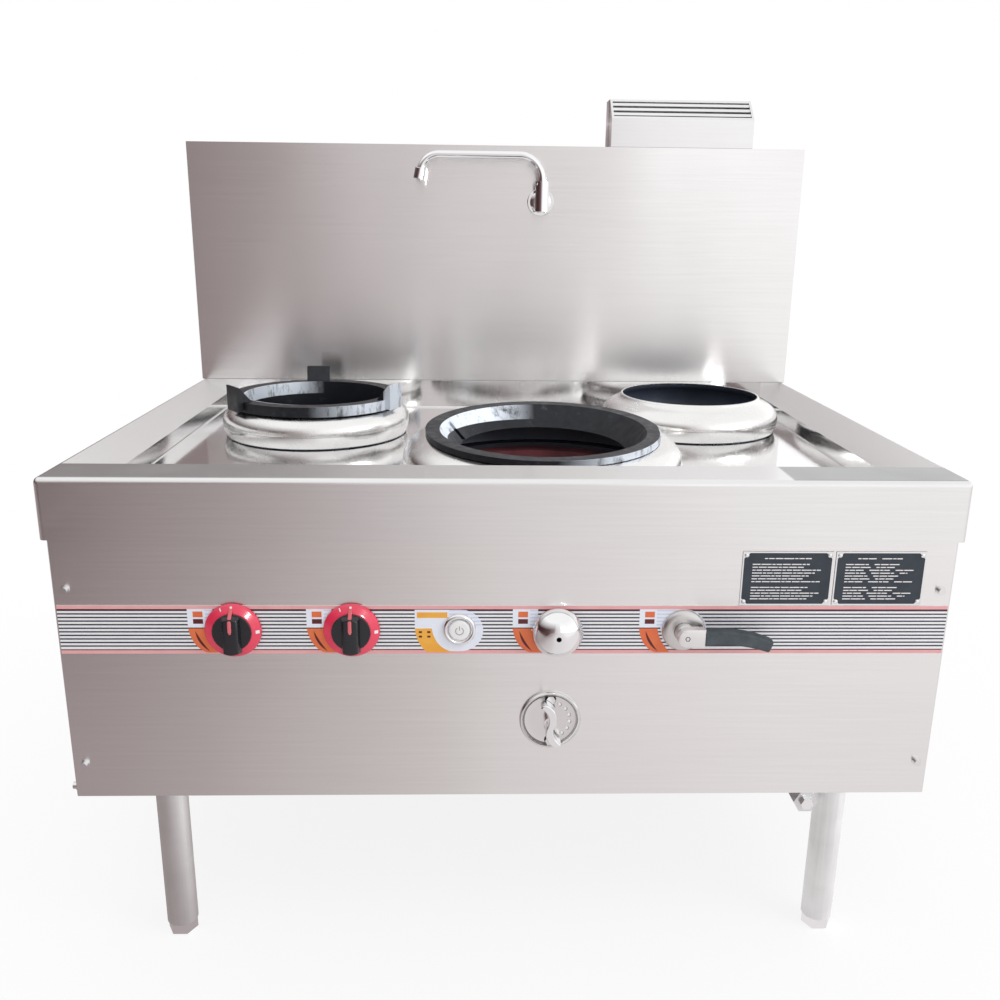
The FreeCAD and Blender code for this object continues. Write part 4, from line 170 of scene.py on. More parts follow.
def sheet_steel(name, colour, shade, rough, grain="x", cloud=2.2, wear=0.25, anisotropy=0.9, polished=None,
                burnt=None, darker_reflection=None):
    """Brushed stainless sheet: long fine grain, soft clouds of polish, rubbed patches and a few scratches.
    polished and burnt are masks made by functions of the tree, of a smoother and a blackened sheet; the third
    mask gives a darker tone that is a painted reflection."""
    material, tree = new_material(name)
    clouds = spread(tree, noise(tree, cloud, detail=3.0), 0.32, 0.68)
    patches = spread(tree, noise(tree, 7.0, (1.0, 1.0, 1.6), 6.0, 0.62), 0.52, 0.72)
    lines = noise(tree, 900.0, GRAIN_ALONG[grain], 3.0, 0.7)
    threads = noise(tree, 260.0, GRAIN_ALONG[grain], 2.0, 0.6)
    tone = blend_colour(tree, clouds, shade, colour)
    brighter = tuple(min(1.0, channel * 1.06) for channel in colour)
    grained = blend_colour(tree, spread(tree, threads, 0.35, 0.75, 0.0, 0.4), tone, brighter)
    scratch = spread(tree, noise(tree, 60.0, (0.12, 1.0, 6.0), 1.0, 0.3), 0.745, 0.77)
    scratched = blend_colour(tree, maths(tree, "MULTIPLY", scratch, 0.10), grained, SCRATCH_TONE)
    dullness = maths(tree, "ADD", spread(tree, clouds, 0.0, 1.0, rough + 0.03, rough - 0.02),
                     maths(tree, "MULTIPLY", patches, wear * 0.16))
    # Painted reflection: the mask darkens the sheet towards the darker tone.
    if darker_reflection:
        scratched = blend_colour(tree, darker_reflection(tree), scratched, BAND_REFLECTION_TONE)
    if burnt:
        scratched = blend_colour(tree, burnt(tree), scratched, SOOT_TONE)
    if polished:
        dullness = maths(tree, "MULTIPLY", dullness, spread(tree, polished(tree), 0.0, 1.0, 1.0, 0.28))
    bump = add(tree, "Bump", {"Height": lines, "Strength": 0.05, "Distance": 0.0003})
    waves = add(tree, "Bump", {"Height": noise(tree, 2.3, detail=1.0), "Strength": 0.10, "Distance": 0.003,
                               "Normal": bump.outputs[0]})
    around = add(tree, "Tangent", direction_type="RADIAL", axis=grain.upper()).outputs[0]
    end_with(tree, add(tree, "BsdfPrincipled", {
        "Base Color": scratched, "Metallic": 1.0, "Roughness": dullness, "Anisotropic": anisotropy,
        "Tangent": around, "Normal": waves.outputs[0]}))
    return material


def turned_metal(name, colour, rough, dirt=(0.55, 0.53, 0.52)):
    """Spun, turned or plated metal: even polish, with faint cloudiness and a little dirt."""
    material, tree = new_material(name)
    tone = blend_colour(tree, spread(tree, noise(tree, 9.0), 0.5, 0.8, 0.0, 0.12), colour, dirt)
    dullness = spread(tree, noise(tree, 23.0, detail=5.0), 0.3, 0.7, rough * 0.7, rough * 1.4)
    bump = add(tree, "Bump", {"Height": noise(tree, 420.0, detail=3.0), "Strength": 0.08, "Distance": 0.0002})
    end_with(tree, add(tree, "BsdfPrincipled", {
        "Base Color": tone, "Metallic": 1.0, "Roughness": dullness, "Normal": bump.outputs[0]}))
    return material


def cast_iron(name, colour, worn, shine, glint_side=None):
    """Black cast iron: sand-cast pits and grains, rubbed here and there, and pale streaks of painted
    reflection where the side mask says.
    """
    material, tree = new_material(name)
    pits = noise(tree, 260.0, detail=6.0, roughness=0.7)
    lumps = noise(tree, 60.0, detail=5.0)
    rubbed = spread(tree, noise(tree, 26.0, detail=7.0, roughness=0.72), 0.60, 0.74, 0.0, worn)
    tone = blend_colour(tree, spread(tree, lumps, 0.3, 0.7), colour, tuple(c * 1.7 for c in colour))
    tone = blend_colour(tree, maths(tree, "MULTIPLY", rubbed, 0.4), tone, WORN_IRON)
    metallic = 0.0
    # Painted reflection: pale streaks where the side mask says.
    if glint_side:
        streaks = spread(tree, noise(tree, 34.0, (1.0, 1.0, 0.35), 7.0, 0.74), 0.34, 0.50)
        glint = maths(tree, "MULTIPLY", streaks, glint_side(tree))
        tone = blend_colour(tree, glint, tone, GLINT_TONE)
        metallic = maths(tree, "MULTIPLY", glint, 0.35)
    dullness = spread(tree, lumps, 0.35, 0.75, shine + 0.10, shine - 0.08)
    height = maths(tree, "ADD", maths(tree, "MULTIPLY", pits, 0.5), lumps)
    bump = add(tree, "Bump", {"Height": height, "Strength": 0.40, "Distance": 0.0010})
    end_with(tree, add(tree, "BsdfPrincipled", {
        "Base Color": tone, "Metallic": metallic, "Roughness": dullness, "Specular IOR Level": 0.35,
        "Normal": bump.outputs[0]}))
    return material


def coated(name, colour, shade, rough, grains=0.15, size=300.0, depth=0.0003, coat=0.0, metallic=0.0,
           elsewhere=None):
    """Paint, plastic, rubber, brick or galvanised sheet: a mottled colour over a fine grain.
    elsewhere is a pair, a mask made by a function of the tree and the colour that the mask brings."""
    material, tree = new_material(name)
    mottle = spread(tree, noise(tree, size * 0.12, detail=5.0), 0.3, 0.7)
    fine = noise(tree, size, detail=4.0, roughness=0.6)
    tone = blend_colour(tree, mottle, shade, colour)
    if elsewhere:
        tone = blend_colour(tree, elsewhere[0](tree), tone, elsewhere[1])
    dullness = spread(tree, fine, 0.3, 0.7, rough - 0.05, rough + 0.06)
    bump = add(tree, "Bump", {"Height": fine, "Strength": grains, "Distance": depth})
    end_with(tree, add(tree, "BsdfPrincipled", {
        "Base Color": tone, "Metallic": metallic, "Roughness": dullness, "Coat Weight": coat,
        "Coat Roughness": 0.08, "Normal": bump.outputs[0]}))
    return material


def ink(name, colour, shade, rough=0.32):
    """A thin, nearly smooth layer of print."""
    return coated(name, colour, shade, rough, 0.03)


# ---- Places taken from the frame ----
def middle(node):
    low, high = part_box(node)
    return (low + high) / 2


def joint_place(name):
    return Vector(JOINTS[name]["pos_m"])


STRIP_LOW, STRIP_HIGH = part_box("control_strip")
STRIP_FACE = STRIP_LOW.y
WORKTOP_LOW, WORKTOP_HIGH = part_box("worktop")
APRON_FACE, WORKTOP_SIDE, RIM = WORKTOP_LOW.y, WORKTOP_HIGH.x, WORKTOP_HIGH.z
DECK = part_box("left_collar")[0].z
SPLASH_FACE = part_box("back_splash")[0].y
SIDE_BAND = 58 * MM  # how wide the rim is at each side
FRONT_BAND = 90 * MM  # how wide the rim is at the front
LEFT_BURNER = middle("left_collar")
CENTRE_BURNER = middle("centre_wok_ring")
WARMER = middle("warmer_collar")
# Each burner's axis and the radius within which the sheet is burnt.
BURNERS = ((LEFT_BURNER, 187 * MM), (CENTRE_BURNER, 246 * MM), (WARMER, 185 * MM))
# Each wok ring's axis, the radii inside and outside which its walls carry a painted reflection, and the soft
# end's width.
WOK_RINGS = ((LEFT_BURNER, 149 * MM, 174 * MM, 60 * MM), (CENTRE_BURNER, 187 * MM, 211 * MM, 90 * MM))
GLINT_START, GLINT_DEPTH = 5 * MM, 8 * MM  # inside: past the axis, and down from the rim
EDGE_DEEP, EDGE_START, EDGE_FULL, EDGE_SHARE = 30 * MM, 10 * MM, 110 * MM, 0.8  # outside, with the lugs
# The rim's front band is painted darker towards each end, a painted reflection: from this x to that, and from
# this share to that.
BAND_LEFT, BAND_RIGHT = (-0.45, 0.15, 0.55, 0.0), (0.425, 0.43, 0.0, 0.85)
ACROSS = {"left_knob": joint_place("left_gas_turn").x, "centre_knob": joint_place("centre_gas_turn").x,
          "button": middle("button_switch").x, "dome": joint_place("dome_turn").x,
          "lever": joint_place("lever_turn").x}


def basin_polish(tree):
    """1 on the deck and on the basin's walls, 0 on the rim, the apron and above."""
    east, north, up = axes(tree)
    inside = maths(tree, "LESS_THAN", maths(tree, "ABSOLUTE", east), WORKTOP_SIDE - SIDE_BAND + MM)
    behind = maths(tree, "GREATER_THAN", north, APRON_FACE + FRONT_BAND - MM)
    low = maths(tree, "LESS_THAN", up, RIM - MM)
    return maths(tree, "MULTIPLY", inside, behind, low)


def side_mask(tree, first, last):
    """Rises from 0 to 1 as x goes from first to last."""
    return spread(tree, axes(tree)[0], first, last)


def band_reflection_mask(tree):
    """How much darker the rim's front band is painted, most of all at its ends: a painted reflection."""
    east, north, up = axes(tree)
    level = maths(tree, "GREATER_THAN", up, RIM - MM / 2)
    band = maths(tree, "LESS_THAN", north, APRON_FACE + FRONT_BAND)
    ends = maths(tree, "MAXIMUM", spread(tree, east, *BAND_LEFT), spread(tree, east, *BAND_RIGHT))
    return maths(tree, "MULTIPLY", level, band, ends)


def burnt_mask(tree):
    """1 on what lies inside the three burners."""
    return maths(tree, "MAXIMUM", *(maths(tree, "LESS_THAN", from_axis(tree, axis), radius)
                                    for axis, radius in BURNERS))


def ring_glint_mask(tree):
    """Where the wok rings' walls carry a painted reflection of the bright side: inside at the cook's left,
    outside at the front right.
    """
    _, north, up = axes(tree)
    masks = []
    for axis, inner, outer, reach in WOK_RINGS:
        away = from_axis(tree, axis)
        masks.append(maths(tree, "MULTIPLY", maths(tree, "LESS_THAN", away, inner),
                           side_mask(tree, axis.x - GLINT_START, axis.x - reach),
                           maths(tree, "GREATER_THAN", up, RIM - GLINT_DEPTH)))
        masks.append(maths(tree, "MULTIPLY", maths(tree, "GREATER_THAN", away, outer),
                           maths(tree, "LESS_THAN", away, outer + EDGE_DEEP),
                           side_mask(tree, axis.x + EDGE_START, axis.x + EDGE_FULL),
                           maths(tree, "LESS_THAN", north, axis.y), EDGE_SHARE))
    return maths(tree, "MAXIMUM", *masks)


# ---- Finishes ----
# The rim's front band gets a painted darker reflection, most of all at its ends.
WORKTOP = sheet_steel("worktop_sheet", (0.87, 0.865, 0.865), (0.83, 0.82, 0.82), 0.22, polished=basin_polish,
                      burnt=burnt_mask, darker_reflection=band_reflection_mask)
SPLASH = sheet_steel("splash_sheet", (0.87, 0.86, 0.86), (0.85, 0.835, 0.835), 0.20, wear=0.1)
PANEL = sheet_steel("panel_sheet", (0.87, 0.86, 0.855), (0.84, 0.83, 0.825), 0.24, wear=0.12)
SIDE = sheet_steel("side_sheet", (0.86, 0.85, 0.845), (0.82, 0.81, 0.805), 0.28, grain="y", wear=0.15)
HOOD = sheet_steel("hood_sheet", (0.90, 0.895, 0.90), (0.86, 0.855, 0.86), 0.30, wear=0.1)
LEG = sheet_steel("leg_tube", (0.84, 0.85, 0.85), (0.70, 0.71, 0.71), 0.34, "z", 11.0, 0.5, 0.0)
FRAME = sheet_steel("frame_tube", (0.62, 0.62, 0.625), (0.50, 0.50, 0.51), 0.38, cloud=9.0, anisotropy=0.5)
COLLAR = turned_metal("spun_collar", (0.90, 0.895, 0.885), 0.24)
# Grey for the collars' seams and the sheet's joint lines; the regulator's groove ring and index discs use it
# as painted shade.
SEAM_AND_SHADE = turned_metal("collar_seam", (0.42, 0.41, 0.40), 0.35)
CHROME = turned_metal("chrome_plate", (0.92, 0.92, 0.93), 0.06)
SATIN = turned_metal("satin_cap", (0.93, 0.93, 0.94), 0.24)
PALE_CAP = coated("pale_cap", (0.88, 0.875, 0.88), (0.84, 0.835, 0.84), 0.30, 0.03, coat=0.5)
PLATED = turned_metal("plated_steel", (0.84, 0.84, 0.85), 0.18)
SATIN_PLATE = turned_metal("satin_plate", (0.80, 0.795, 0.79), 0.16)
ROSE = turned_metal("brushed_rose", (0.70, 0.69, 0.68), 0.30)
BLOCK = turned_metal("lever_block", (0.90, 0.895, 0.89), 0.34)
GALVANISED = turned_metal("galvanised_pipe", (0.74, 0.75, 0.76), 0.30)
BRASS = turned_metal("turned_brass", (0.72, 0.54, 0.26), 0.26, dirt=(0.35, 0.24, 0.12))
DUCT = coated("galvanised_duct", (0.62, 0.64, 0.65), (0.48, 0.50, 0.52), 0.42, size=120.0, metallic=0.9)
CHAMBER = coated("heated_sheet", (0.060, 0.066, 0.088), (0.045, 0.050, 0.070), 0.55, size=160.0)
LINING = coated("collar_lining", (0.090, 0.108, 0.150), (0.060, 0.072, 0.105), 0.50, size=160.0)
WHEEL = coated("blower_wheel", (0.66, 0.67, 0.68), (0.56, 0.57, 0.58), 0.4, metallic=0.9)
IRON = cast_iron("cast_iron", (0.012, 0.013, 0.016), 0.3, 0.45)
# The wok rings' walls that face the cook's right carry a painted pale reflection.
RING_IRON = cast_iron("ring_iron", (0.0065, 0.0075, 0.0105), 0.35, 0.40, ring_glint_mask)
BRICK = coated("firebrick", (0.26, 0.075, 0.085), (0.12, 0.035, 0.045), 0.85, 0.6, 90.0, 0.002,
               elsewhere=(lambda tree: side_mask(tree, -120 * MM, -180 * MM), (0.012, 0.013, 0.020)))
MOTOR_PAINT = coated("motor_paint", (0.16, 0.22, 0.30), (0.10, 0.14, 0.20), 0.45)
RED = coated("knob_red", (0.72, 0.030, 0.085), (0.64, 0.022, 0.068), 0.22, 0.03, coat=1.0)
POINTER_RED = coated("pointer_red", (0.80, 0.16, 0.19), (0.70, 0.11, 0.14), 0.35, 0.1, coat=0.3)
BLACK = coated("knob_black", (0.008, 0.009, 0.014), (0.005, 0.006, 0.010), 0.26, 0.08, coat=0.4)
RUBBER = coated("grip_rubber", (0.055, 0.070, 0.080), (0.030, 0.040, 0.048), 0.60, 1.0, 420.0, 0.0012)
PRINT = coated("print_white", (0.88, 0.875, 0.895), (0.84, 0.835, 0.86), 0.28, 0.03, coat=0.3)
NAVY_INK = ink("navy_ink", (0.030, 0.033, 0.065), (0.022, 0.025, 0.052), 0.35)
PINK_INK = ink("pink_ink", (0.84, 0.43, 0.44), (0.80, 0.38, 0.39))
RED_INK = ink("red_ink", (0.13, 0.012, 0.018), (0.10, 0.008, 0.012))
PALE_INK = ink("pale_ink", (0.84, 0.87, 0.96), (0.80, 0.84, 0.94), 0.30)
FADED_INK = ink("faded_ink", (0.66, 0.70, 0.84), (0.60, 0.65, 0.81), 0.30)
ORANGE_INK = ink("orange_ink", (0.80, 0.19, 0.060), (0.74, 0.14, 0.050))
AMBER_INK = ink("amber_ink", (0.90, 0.45, 0.060), (0.86, 0.38, 0.040))
# White for print; the regulator's index domes use it as painted light.
WHITE_PRINT_AND_LIGHT = ink("white_ink", (0.92, 0.90, 0.91), (0.88, 0.86, 0.87), 0.35)
GREY_INK = ink("grey_ink", (0.42, 0.42, 0.44), (0.36, 0.36, 0.38), 0.40)
PLATE = coated("plate_dark", (0.045, 0.055, 0.072), (0.032, 0.040, 0.055), 0.35, 0.1, metallic=0.3)
HOLE = coated("dark_hole", (0.010, 0.010, 0.012), (0.006, 0.006, 0.008), 0.60, 0.1)

FINISHES = {
    WORKTOP: ["worktop"],
    SPLASH: ["back_splash", "splash_back_cover"],
    PANEL: ["front_panel", "rear_panel"],
    SIDE: ["left_side_panel", "right_side_panel"],
    HOOD: ["flue_hood", "flue_louvres"],
    LEG: ["legs"],
    FRAME: ["base_rails", "upper_frame", "leg_fittings", "brackets"],
    COLLAR: ["left_collar", "centre_collar", "warmer_collar"],
    CHROME: ["front_left_foot", "front_right_foot", "rear_left_foot", "rear_right_foot", "dome_knob",
             "gas_plug", "lever_rose", "lever_arm", "button_switch", "faucet_socket", "faucet_spout",
             "spout_aerator", "regulator_plate", "regulator_handle"],
    PLATED: ["panel_screws", "nameplate_rivets", "left_valve_stem", "centre_valve_stem", "damper",
             "water_pipes", "button_cap"],
    GALVANISED: ["gas_main_pipe", "gas_pipework"],
    BRASS: ["gas_valves", "water_valves"],
    DUCT: ["air_ducts", "flue_riser", "fire_tunnels", "blower_housing"],
    CHAMBER: ["fire_chambers"],
    WHEEL: ["blower_impeller"],
    IRON: ["burner_heads"],
    RING_IRON: ["left_wok_ring", "centre_wok_ring"],
    BRICK: ["firebrick_linings"],
    MOTOR_PAINT: ["blower_motor"],
    RED: ["left_knob_skirt", "centre_knob_skirt"],
    BLACK: ["left_knob_grip", "centre_knob_grip"],
    RUBBER: ["lever_grip"],
    PRINT: ["control_strip"],
    PLATE: ["nameplates"],
}
for finish, names in FINISHES.items():
    for node_name in names:
        slots = NODES[node_name].data.materials
        slots.clear()
        slots.append(finish)


# ---- Shapes ----
# On the front, u runs across, v up and w out towards the cook; sizes are in millimetres.
ROUND = 96  # steps of a full circle
AXIS = 0.01  # the radius at which a turned solid closes on its axis


def facing(place_at):
    """Puts (u, v, w) in millimetres at a place on the front."""
    turn = Matrix(((1, 0, 0), (0, 0, -1), (0, 1, 0))).to_4x4()
    return Matrix.Translation(place_at) @ turn @ Matrix.Scale(MM, 4)


def upright(place_at, lean=0.0):
    """Puts (x, y, z) in millimetres at a place, leaning towards the cook by an angle."""
    return Matrix.Translation(place_at) @ Matrix.Rotation(lean, 4, "X") @ Matrix.Scale(MM, 4)


class Form:
    """Points and faces gathered from turned, layered and swept shapes."""

    def __init__(self):
        self.points = []
        self.faces = []

    def rings(self, rings, move, closed=False):
        """Skins equal rings of points; the ends are capped unless the rings close on themselves."""
        start, size = len(self.points), len(rings[0])
        for ring in rings:
            self.points += [move @ Vector(point) for point in ring]
        count = len(rings) if closed else len(rings) - 1
        for i in range(count):
            here, after = start + i * size, start + (i + 1) % len(rings) * size
            for j in range(size):
                k = (j + 1) % size
                self.faces.append((here + j, here + k, after + k, after + j))
        if not closed:
            self.faces.append(tuple(range(start, start + size)))
            self.faces.append(tuple(start + (len(rings) - 1) * size + j for j in range(size)))
        return self

    def turned(self, profile, move, steps=ROUND):
        """A closed profile of (radius, w) turned about the w axis."""
        rings = []
        for i in range(steps):
            angle = FULL_TURN * i / steps
            rings.append([(r * math.cos(angle), r * math.sin(angle), w) for r, w in profile])
        return self.rings(rings, move, closed=True)

    def slab(self, outline, move, low, high):
        """A flat shape between two levels."""
        return self.rings([[(u, v, w) for u, v in outline] for w in (low, high)], move)

    def bar(self, low, high, move):
        return self.slab(rectangle(low[0], low[1], high[0], high[1]), move, low[2], high[2])


def rectangle(left, bottom, right, top):
    return [(left, bottom), (right, bottom), (right, top), (left, top)]


def bow(start, control, end, steps=14):
    """A curve from start towards control and on to end."""
    curve = []
    for i in range(steps + 1):
        t = i / steps
        curve.append(tuple(a * (1 - t) ** 2 + 2 * b * t * (1 - t) + c * t * t
                           for a, b, c in zip(start, control, end)))
    return curve


def arc(centre, radius, start, end, steps=24):
    """Points of an arc between two angles in degrees."""
    points = []
    for i in range(steps + 1):
        angle = math.radians(start + (end - start) * i / steps)
        points.append((centre[0] + radius * math.cos(angle), centre[1] + radius * math.sin(angle)))
    return points


def piece(form, name, finish, body, replaces=(), sharp=35.0):
    """Makes the gathered shape into a smooth-shaded object that rides on a body."""
    mesh = bpy.data.meshes.new(name)
    mesh.from_pydata(form.points, [], form.faces)
    shape = bmesh.new()
    shape.from_mesh(mesh)
    bmesh.ops.remove_doubles(shape, verts=shape.verts, dist=MM / 1000)
    bmesh.ops.recalc_face_normals(shape, faces=shape.faces)
    shape.to_mesh(mesh)
    shape.free()
    mesh.shade_smooth()
    mesh.set_sharp_from_angle(angle=math.radians(sharp))
    mesh.materials.append(finish)
    made = bpy.data.objects.new(name, mesh)
    bpy.context.scene.collection.objects.link(made)
    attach(made, body)
    if replaces:
        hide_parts(*replaces)
    return made


# ---- Gas knobs ----
SKIRT_TILT = math.atan2(3.5, 7.0)
SKIRT_MIDDLE = (37.0, 7.8)
POINTER_HALF, POINTER_TIP = 2.7, 1.6


def on_skirt(at, degrees):
    """A place on the skirt's slope, seen as a flat patch with u along the radius."""
    around = Matrix.Rotation(math.radians(degrees), 4, "Z")
    out = Matrix.Translation((SKIRT_MIDDLE[0], 0, SKIRT_MIDDLE[1])) @ Matrix.Rotation(SKIRT_TILT, 4, "Y")
    return facing(at) @ around @ out


def grip_outline(half, above, below):
    """Seen from the front: two straight sides and two bowed ends."""
    top = bow((half, above - half / 4), (0, above + half / 4), (-half, above - half / 4))
    foot = bow((-half, half / 4 - below), (0, -below - half / 4), (half, half / 4 - below))
    return top + foot


def make_knob(name, body, joint):
    """A red skirt, a black grip across it, the marks on the skirt and the pointer over the grip."""
    at = joint_place(joint)
    at.y = STRIP_FACE
    move = facing(at)
    skirt = [(5.4, 1.0), (43.5, 1.0), (43.5, 3.2), (42.8, 4.6), (40.5, 6.0), (33.5, 9.5), (31.4, 10.8),
             (30.6, 11.0), (5.4, 11.0)]
    piece(Form().turned(skirt, move), f"{name}_skirt", RED, body, [f"{name}_knob_skirt"])
    grip = Form().turned([(AXIS, 11.1), (30.0, 11.1), (30.0, 13.0), (29.2, 13.9), (AXIS, 13.9)], move)
    layers = [(14.4, 13.0), (13.2, 18.0), (12.0, 22.0), (11.4, 23.4), (10.4, 24.1), (8.8, 24.4)]
    rings = [[(u, v, w) for u, v in grip_outline(half, 14.5 + half, 21.5 + half)] for half, w in layers]
    grip.rings(rings, move)
    piece(grip, f"{name}_grip", BLACK, body, [f"{name}_knob_grip"])
    make_marks(name, body, at)
    make_pointer(name, body, move)


def make_marks(name, body, at):
    """A ring, a block and a dash in white on the skirt: off, high and low."""
    marks = Form()
    marks.slab(arc((2.2, 0), 1.9, 0, 345, 23), on_skirt(at, 90), 0.0, 0.3)
    marks.slab(rectangle(-1.6, -2.6, 4.4, 2.6), on_skirt(at, -1), 0.0, 0.2)
    marks.slab(rectangle(-0.6, -0.9, 4.8, 0.9), on_skirt(at, 115), 0.0, 0.2)
    piece(marks, f"{name}_marks", WHITE_PRINT_AND_LIGHT, body)


def make_pointer(name, body, move):
    """A red bead that runs up the skirt and along the grip, narrower at its last two points."""
    ridge = [(36.5, 8.6), (33.5, 13.4), (30.0, 18.0), (26.0, 22.2), (21.0, 24.9), (12.0, 25.3), (6.0, 25.3),
             (3.4, 25.1), (2.6, 24.6)]
    rings = []
    for i, (v, w) in enumerate(ridge):
        before, after = ridge[max(i - 1, 0)], ridge[min(i + 1, len(ridge) - 1)]
        length = math.hypot(after[0] - before[0], after[1] - before[1])
        down, out = (after[0] - before[0]) / length, (after[1] - before[1]) / length
        half = POINTER_HALF if i < len(ridge) - 2 else POINTER_TIP
        flank = [(half * 0.6, 0.8), (half, 0.2), (half, -1.4)]
        section = [(-u, lift) for u, lift in flank[::-1]] + flank
        rings.append([(u, v + out * lift, w - down * lift) for u, lift in section])
    piece(Form().rings(rings, move), f"{name}_pointer", POINTER_RED, body)


# ---- Power button and screw holes ----
def make_button():
    at = middle("button_switch")
    at.y = STRIP_FACE
    move = facing(at)
    bezel = [(AXIS, -34.0), (19.5, -34.0), (19.5, 0.0), (26.0, 0.0), (26.0, 1.6), (25.5, 3.4), (24.3, 4.9),
             (22.6, 5.9), (20.8, 5.9), (19.2, 4.9), (18.0, 3.2), (17.3, 1.0), (17.0, -2.0), (16.35, -2.6),
             (16.35, -13.0), (AXIS, -13.0)]
    piece(Form().turned(bezel, move), "button_bezel", CHROME, "root", ["button_switch"])
    cap = [(AXIS, -9.4), (15.9, -9.4), (15.9, 6.6), (15.2, 7.7), (13.8, 8.2), (11.0, 8.4), (AXIS, 8.5)]
    piece(Form().turned(cap, move), "button_cap_face", PALE_CAP, "power_button", ["button_cap"])
    symbol = Form()
    gap, radius, half = 32.0, 6.0, 0.7
    ring = arc((0, 0), radius + half, 90 + gap, 450 - gap) + arc((0, 0), radius - half, 450 - gap, 90 + gap)
    symbol.slab(ring, move, 8.3, 8.65)
    symbol.slab(rectangle(-half, 1.0, half, 8.0), move, 8.3, 8.65)
    piece(symbol, "button_symbol", GREY_INK, "power_button")


def make_screw_holes():
    """The dark sockets in the dome's tip and in the lever's block."""
    dome, lever = joint_place("dome_turn"), joint_place("lever_turn")
    dome.y = lever.y = STRIP_FACE
    socket = [(AXIS, 30.2), (3.95, 30.2), (3.95, 37.0), (3.5, 37.0), (3.0, 31.0), (AXIS, 31.0)]
    piece(Form().turned(socket, facing(dome), 32), "dome_screw", HOLE, "dome_tap")
    socket = [(AXIS, 30.2), (4.1, 30.2), (4.1, 37.12), (2.9, 37.12), (2.5, 32.0), (AXIS, 32.0)]
    piece(Form().turned(socket, facing(lever), 6), "lever_screw", HOLE, "lever")


# ---- The printed strip ----
LINE_COUNT, FIRST_LINE, LINE_STEP, LINE_WIDTH = 11, 12.8, 5.9, 2.3
FADED_COUNT, FADED_HALF = 5, 1.0
BORDER_WIDTH, EDGE_LINE, EDGE_HALF = 5.6, 6.6, 0.8
# How far each printed layer stands off the strip, so that the upper one shows.
LINES_OUT, BORDERS_OUT, EDGES_OUT, PATCH_OUT = 0.10, 0.12, 0.14, 0.20
FADED_OUT, SWOOSH_OUT, BOXES_OUT = 0.24, 0.30, 0.40
FIELD_LEFT, FIELD_RIGHT = -69.0, -30.0  # the printed fields, from each control's axis
BOX_LEFT, BOX_RIGHT = -60.5, -45.5


def strip_move(across=0.0):
    return facing(Vector((across, STRIP_FACE, STRIP_LOW.z)))


def make_stripes():
    move = strip_move()
    left, right, top = STRIP_LOW.x / MM, STRIP_HIGH.x / MM, (STRIP_HIGH.z - STRIP_LOW.z) / MM
    lines, borders, edges = Form(), Form(), Form()
    for number in range(LINE_COUNT):
        level = FIRST_LINE + number * LINE_STEP
        line = rectangle(left, level - LINE_WIDTH / 2, right, level + LINE_WIDTH / 2)
        lines.slab(line, move, 0.0, LINES_OUT)
    borders.slab(rectangle(left, 0.0, right, BORDER_WIDTH), move, 0.0, BORDERS_OUT)
    borders.slab(rectangle(left, top - BORDER_WIDTH, right, top), move, 0.0, BORDERS_OUT)
    for level in (EDGE_LINE, top - EDGE_LINE):
        edges.slab(rectangle(left, level - EDGE_HALF, right, level + EDGE_HALF), move, 0.0, EDGES_OUT)
    piece(lines, "strip_lines", NAVY_INK, "root")
    piece(borders, "strip_borders", PINK_INK, "root")
    piece(edges, "strip_edge_lines", RED_INK, "root")


def faded_lines(name, left, right, circle=None):
    """The upper ruled lines, faint where they run on over a printed field.  A field with a round end keeps
    them inside a circle, given by the level of its middle and its radius."""
    lines = Form()
    for number in range(LINE_COUNT - FADED_COUNT, LINE_COUNT):
        level = FIRST_LINE + number * LINE_STEP
        end = right
        if circle:
            middle_level, radius = circle
            end = math.sqrt(max(radius ** 2 - (abs(level - middle_level) + FADED_HALF) ** 2, 1.0))
        line = rectangle(left, level - FADED_HALF, end, level + FADED_HALF)
        lines.slab(line, strip_move(ACROSS[name]), 0.0, FADED_OUT)
    piece(lines, f"{name}_faded_lines", FADED_INK, "root")


def print_pieces(name, field, swoosh, colour, boxes):
    patch = Form().slab(field, strip_move(ACROSS[name]), 0.0, PATCH_OUT)
    parts = (("patch", patch, PALE_INK), ("swoosh", swoosh, colour), ("boxes", boxes, RED_INK))
    for part, form, finish in parts:
        piece(form, f"{name}_{part}", finish, "root")


def make_print(name, round_end=False):
    """The printed field at the left of a control: a pale patch, two small boxes and a quarter swoosh."""
    move = strip_move(ACROSS[name])
    field = rectangle(FIELD_LEFT, 44, FIELD_RIGHT, 74)
    if round_end:
        field = [(FIELD_LEFT, 44), (FIELD_LEFT, 74)] + arc((0, 37), 37, 90, -30) + [(-30, 20), (-36, 44)]
    quarter = bow((-40, 42), (-38, 22), (-19, 2)) + bow((-42, 2), (-64, 10), (FIELD_LEFT, 42))
    swoosh = Form().slab(quarter, move, 0.0, SWOOSH_OUT)
    swoosh.slab(rectangle(BOX_LEFT, 60.5, BOX_RIGHT, 70.0), move, 0.0, SWOOSH_OUT)
    boxes = Form().slab(rectangle(BOX_LEFT, 49.8, BOX_RIGHT, 57.6), move, 0.0, SWOOSH_OUT)
    crescent = bow((-58.5, 38), (-57, 16), (-38, 4)) + bow((-38, 4), (-49, 18), (-58.5, 38))[1:-1]
    boxes.slab(crescent, move, 0.0, BOXES_OUT)
    print_pieces(name, field, swoosh, ORANGE_INK, boxes)


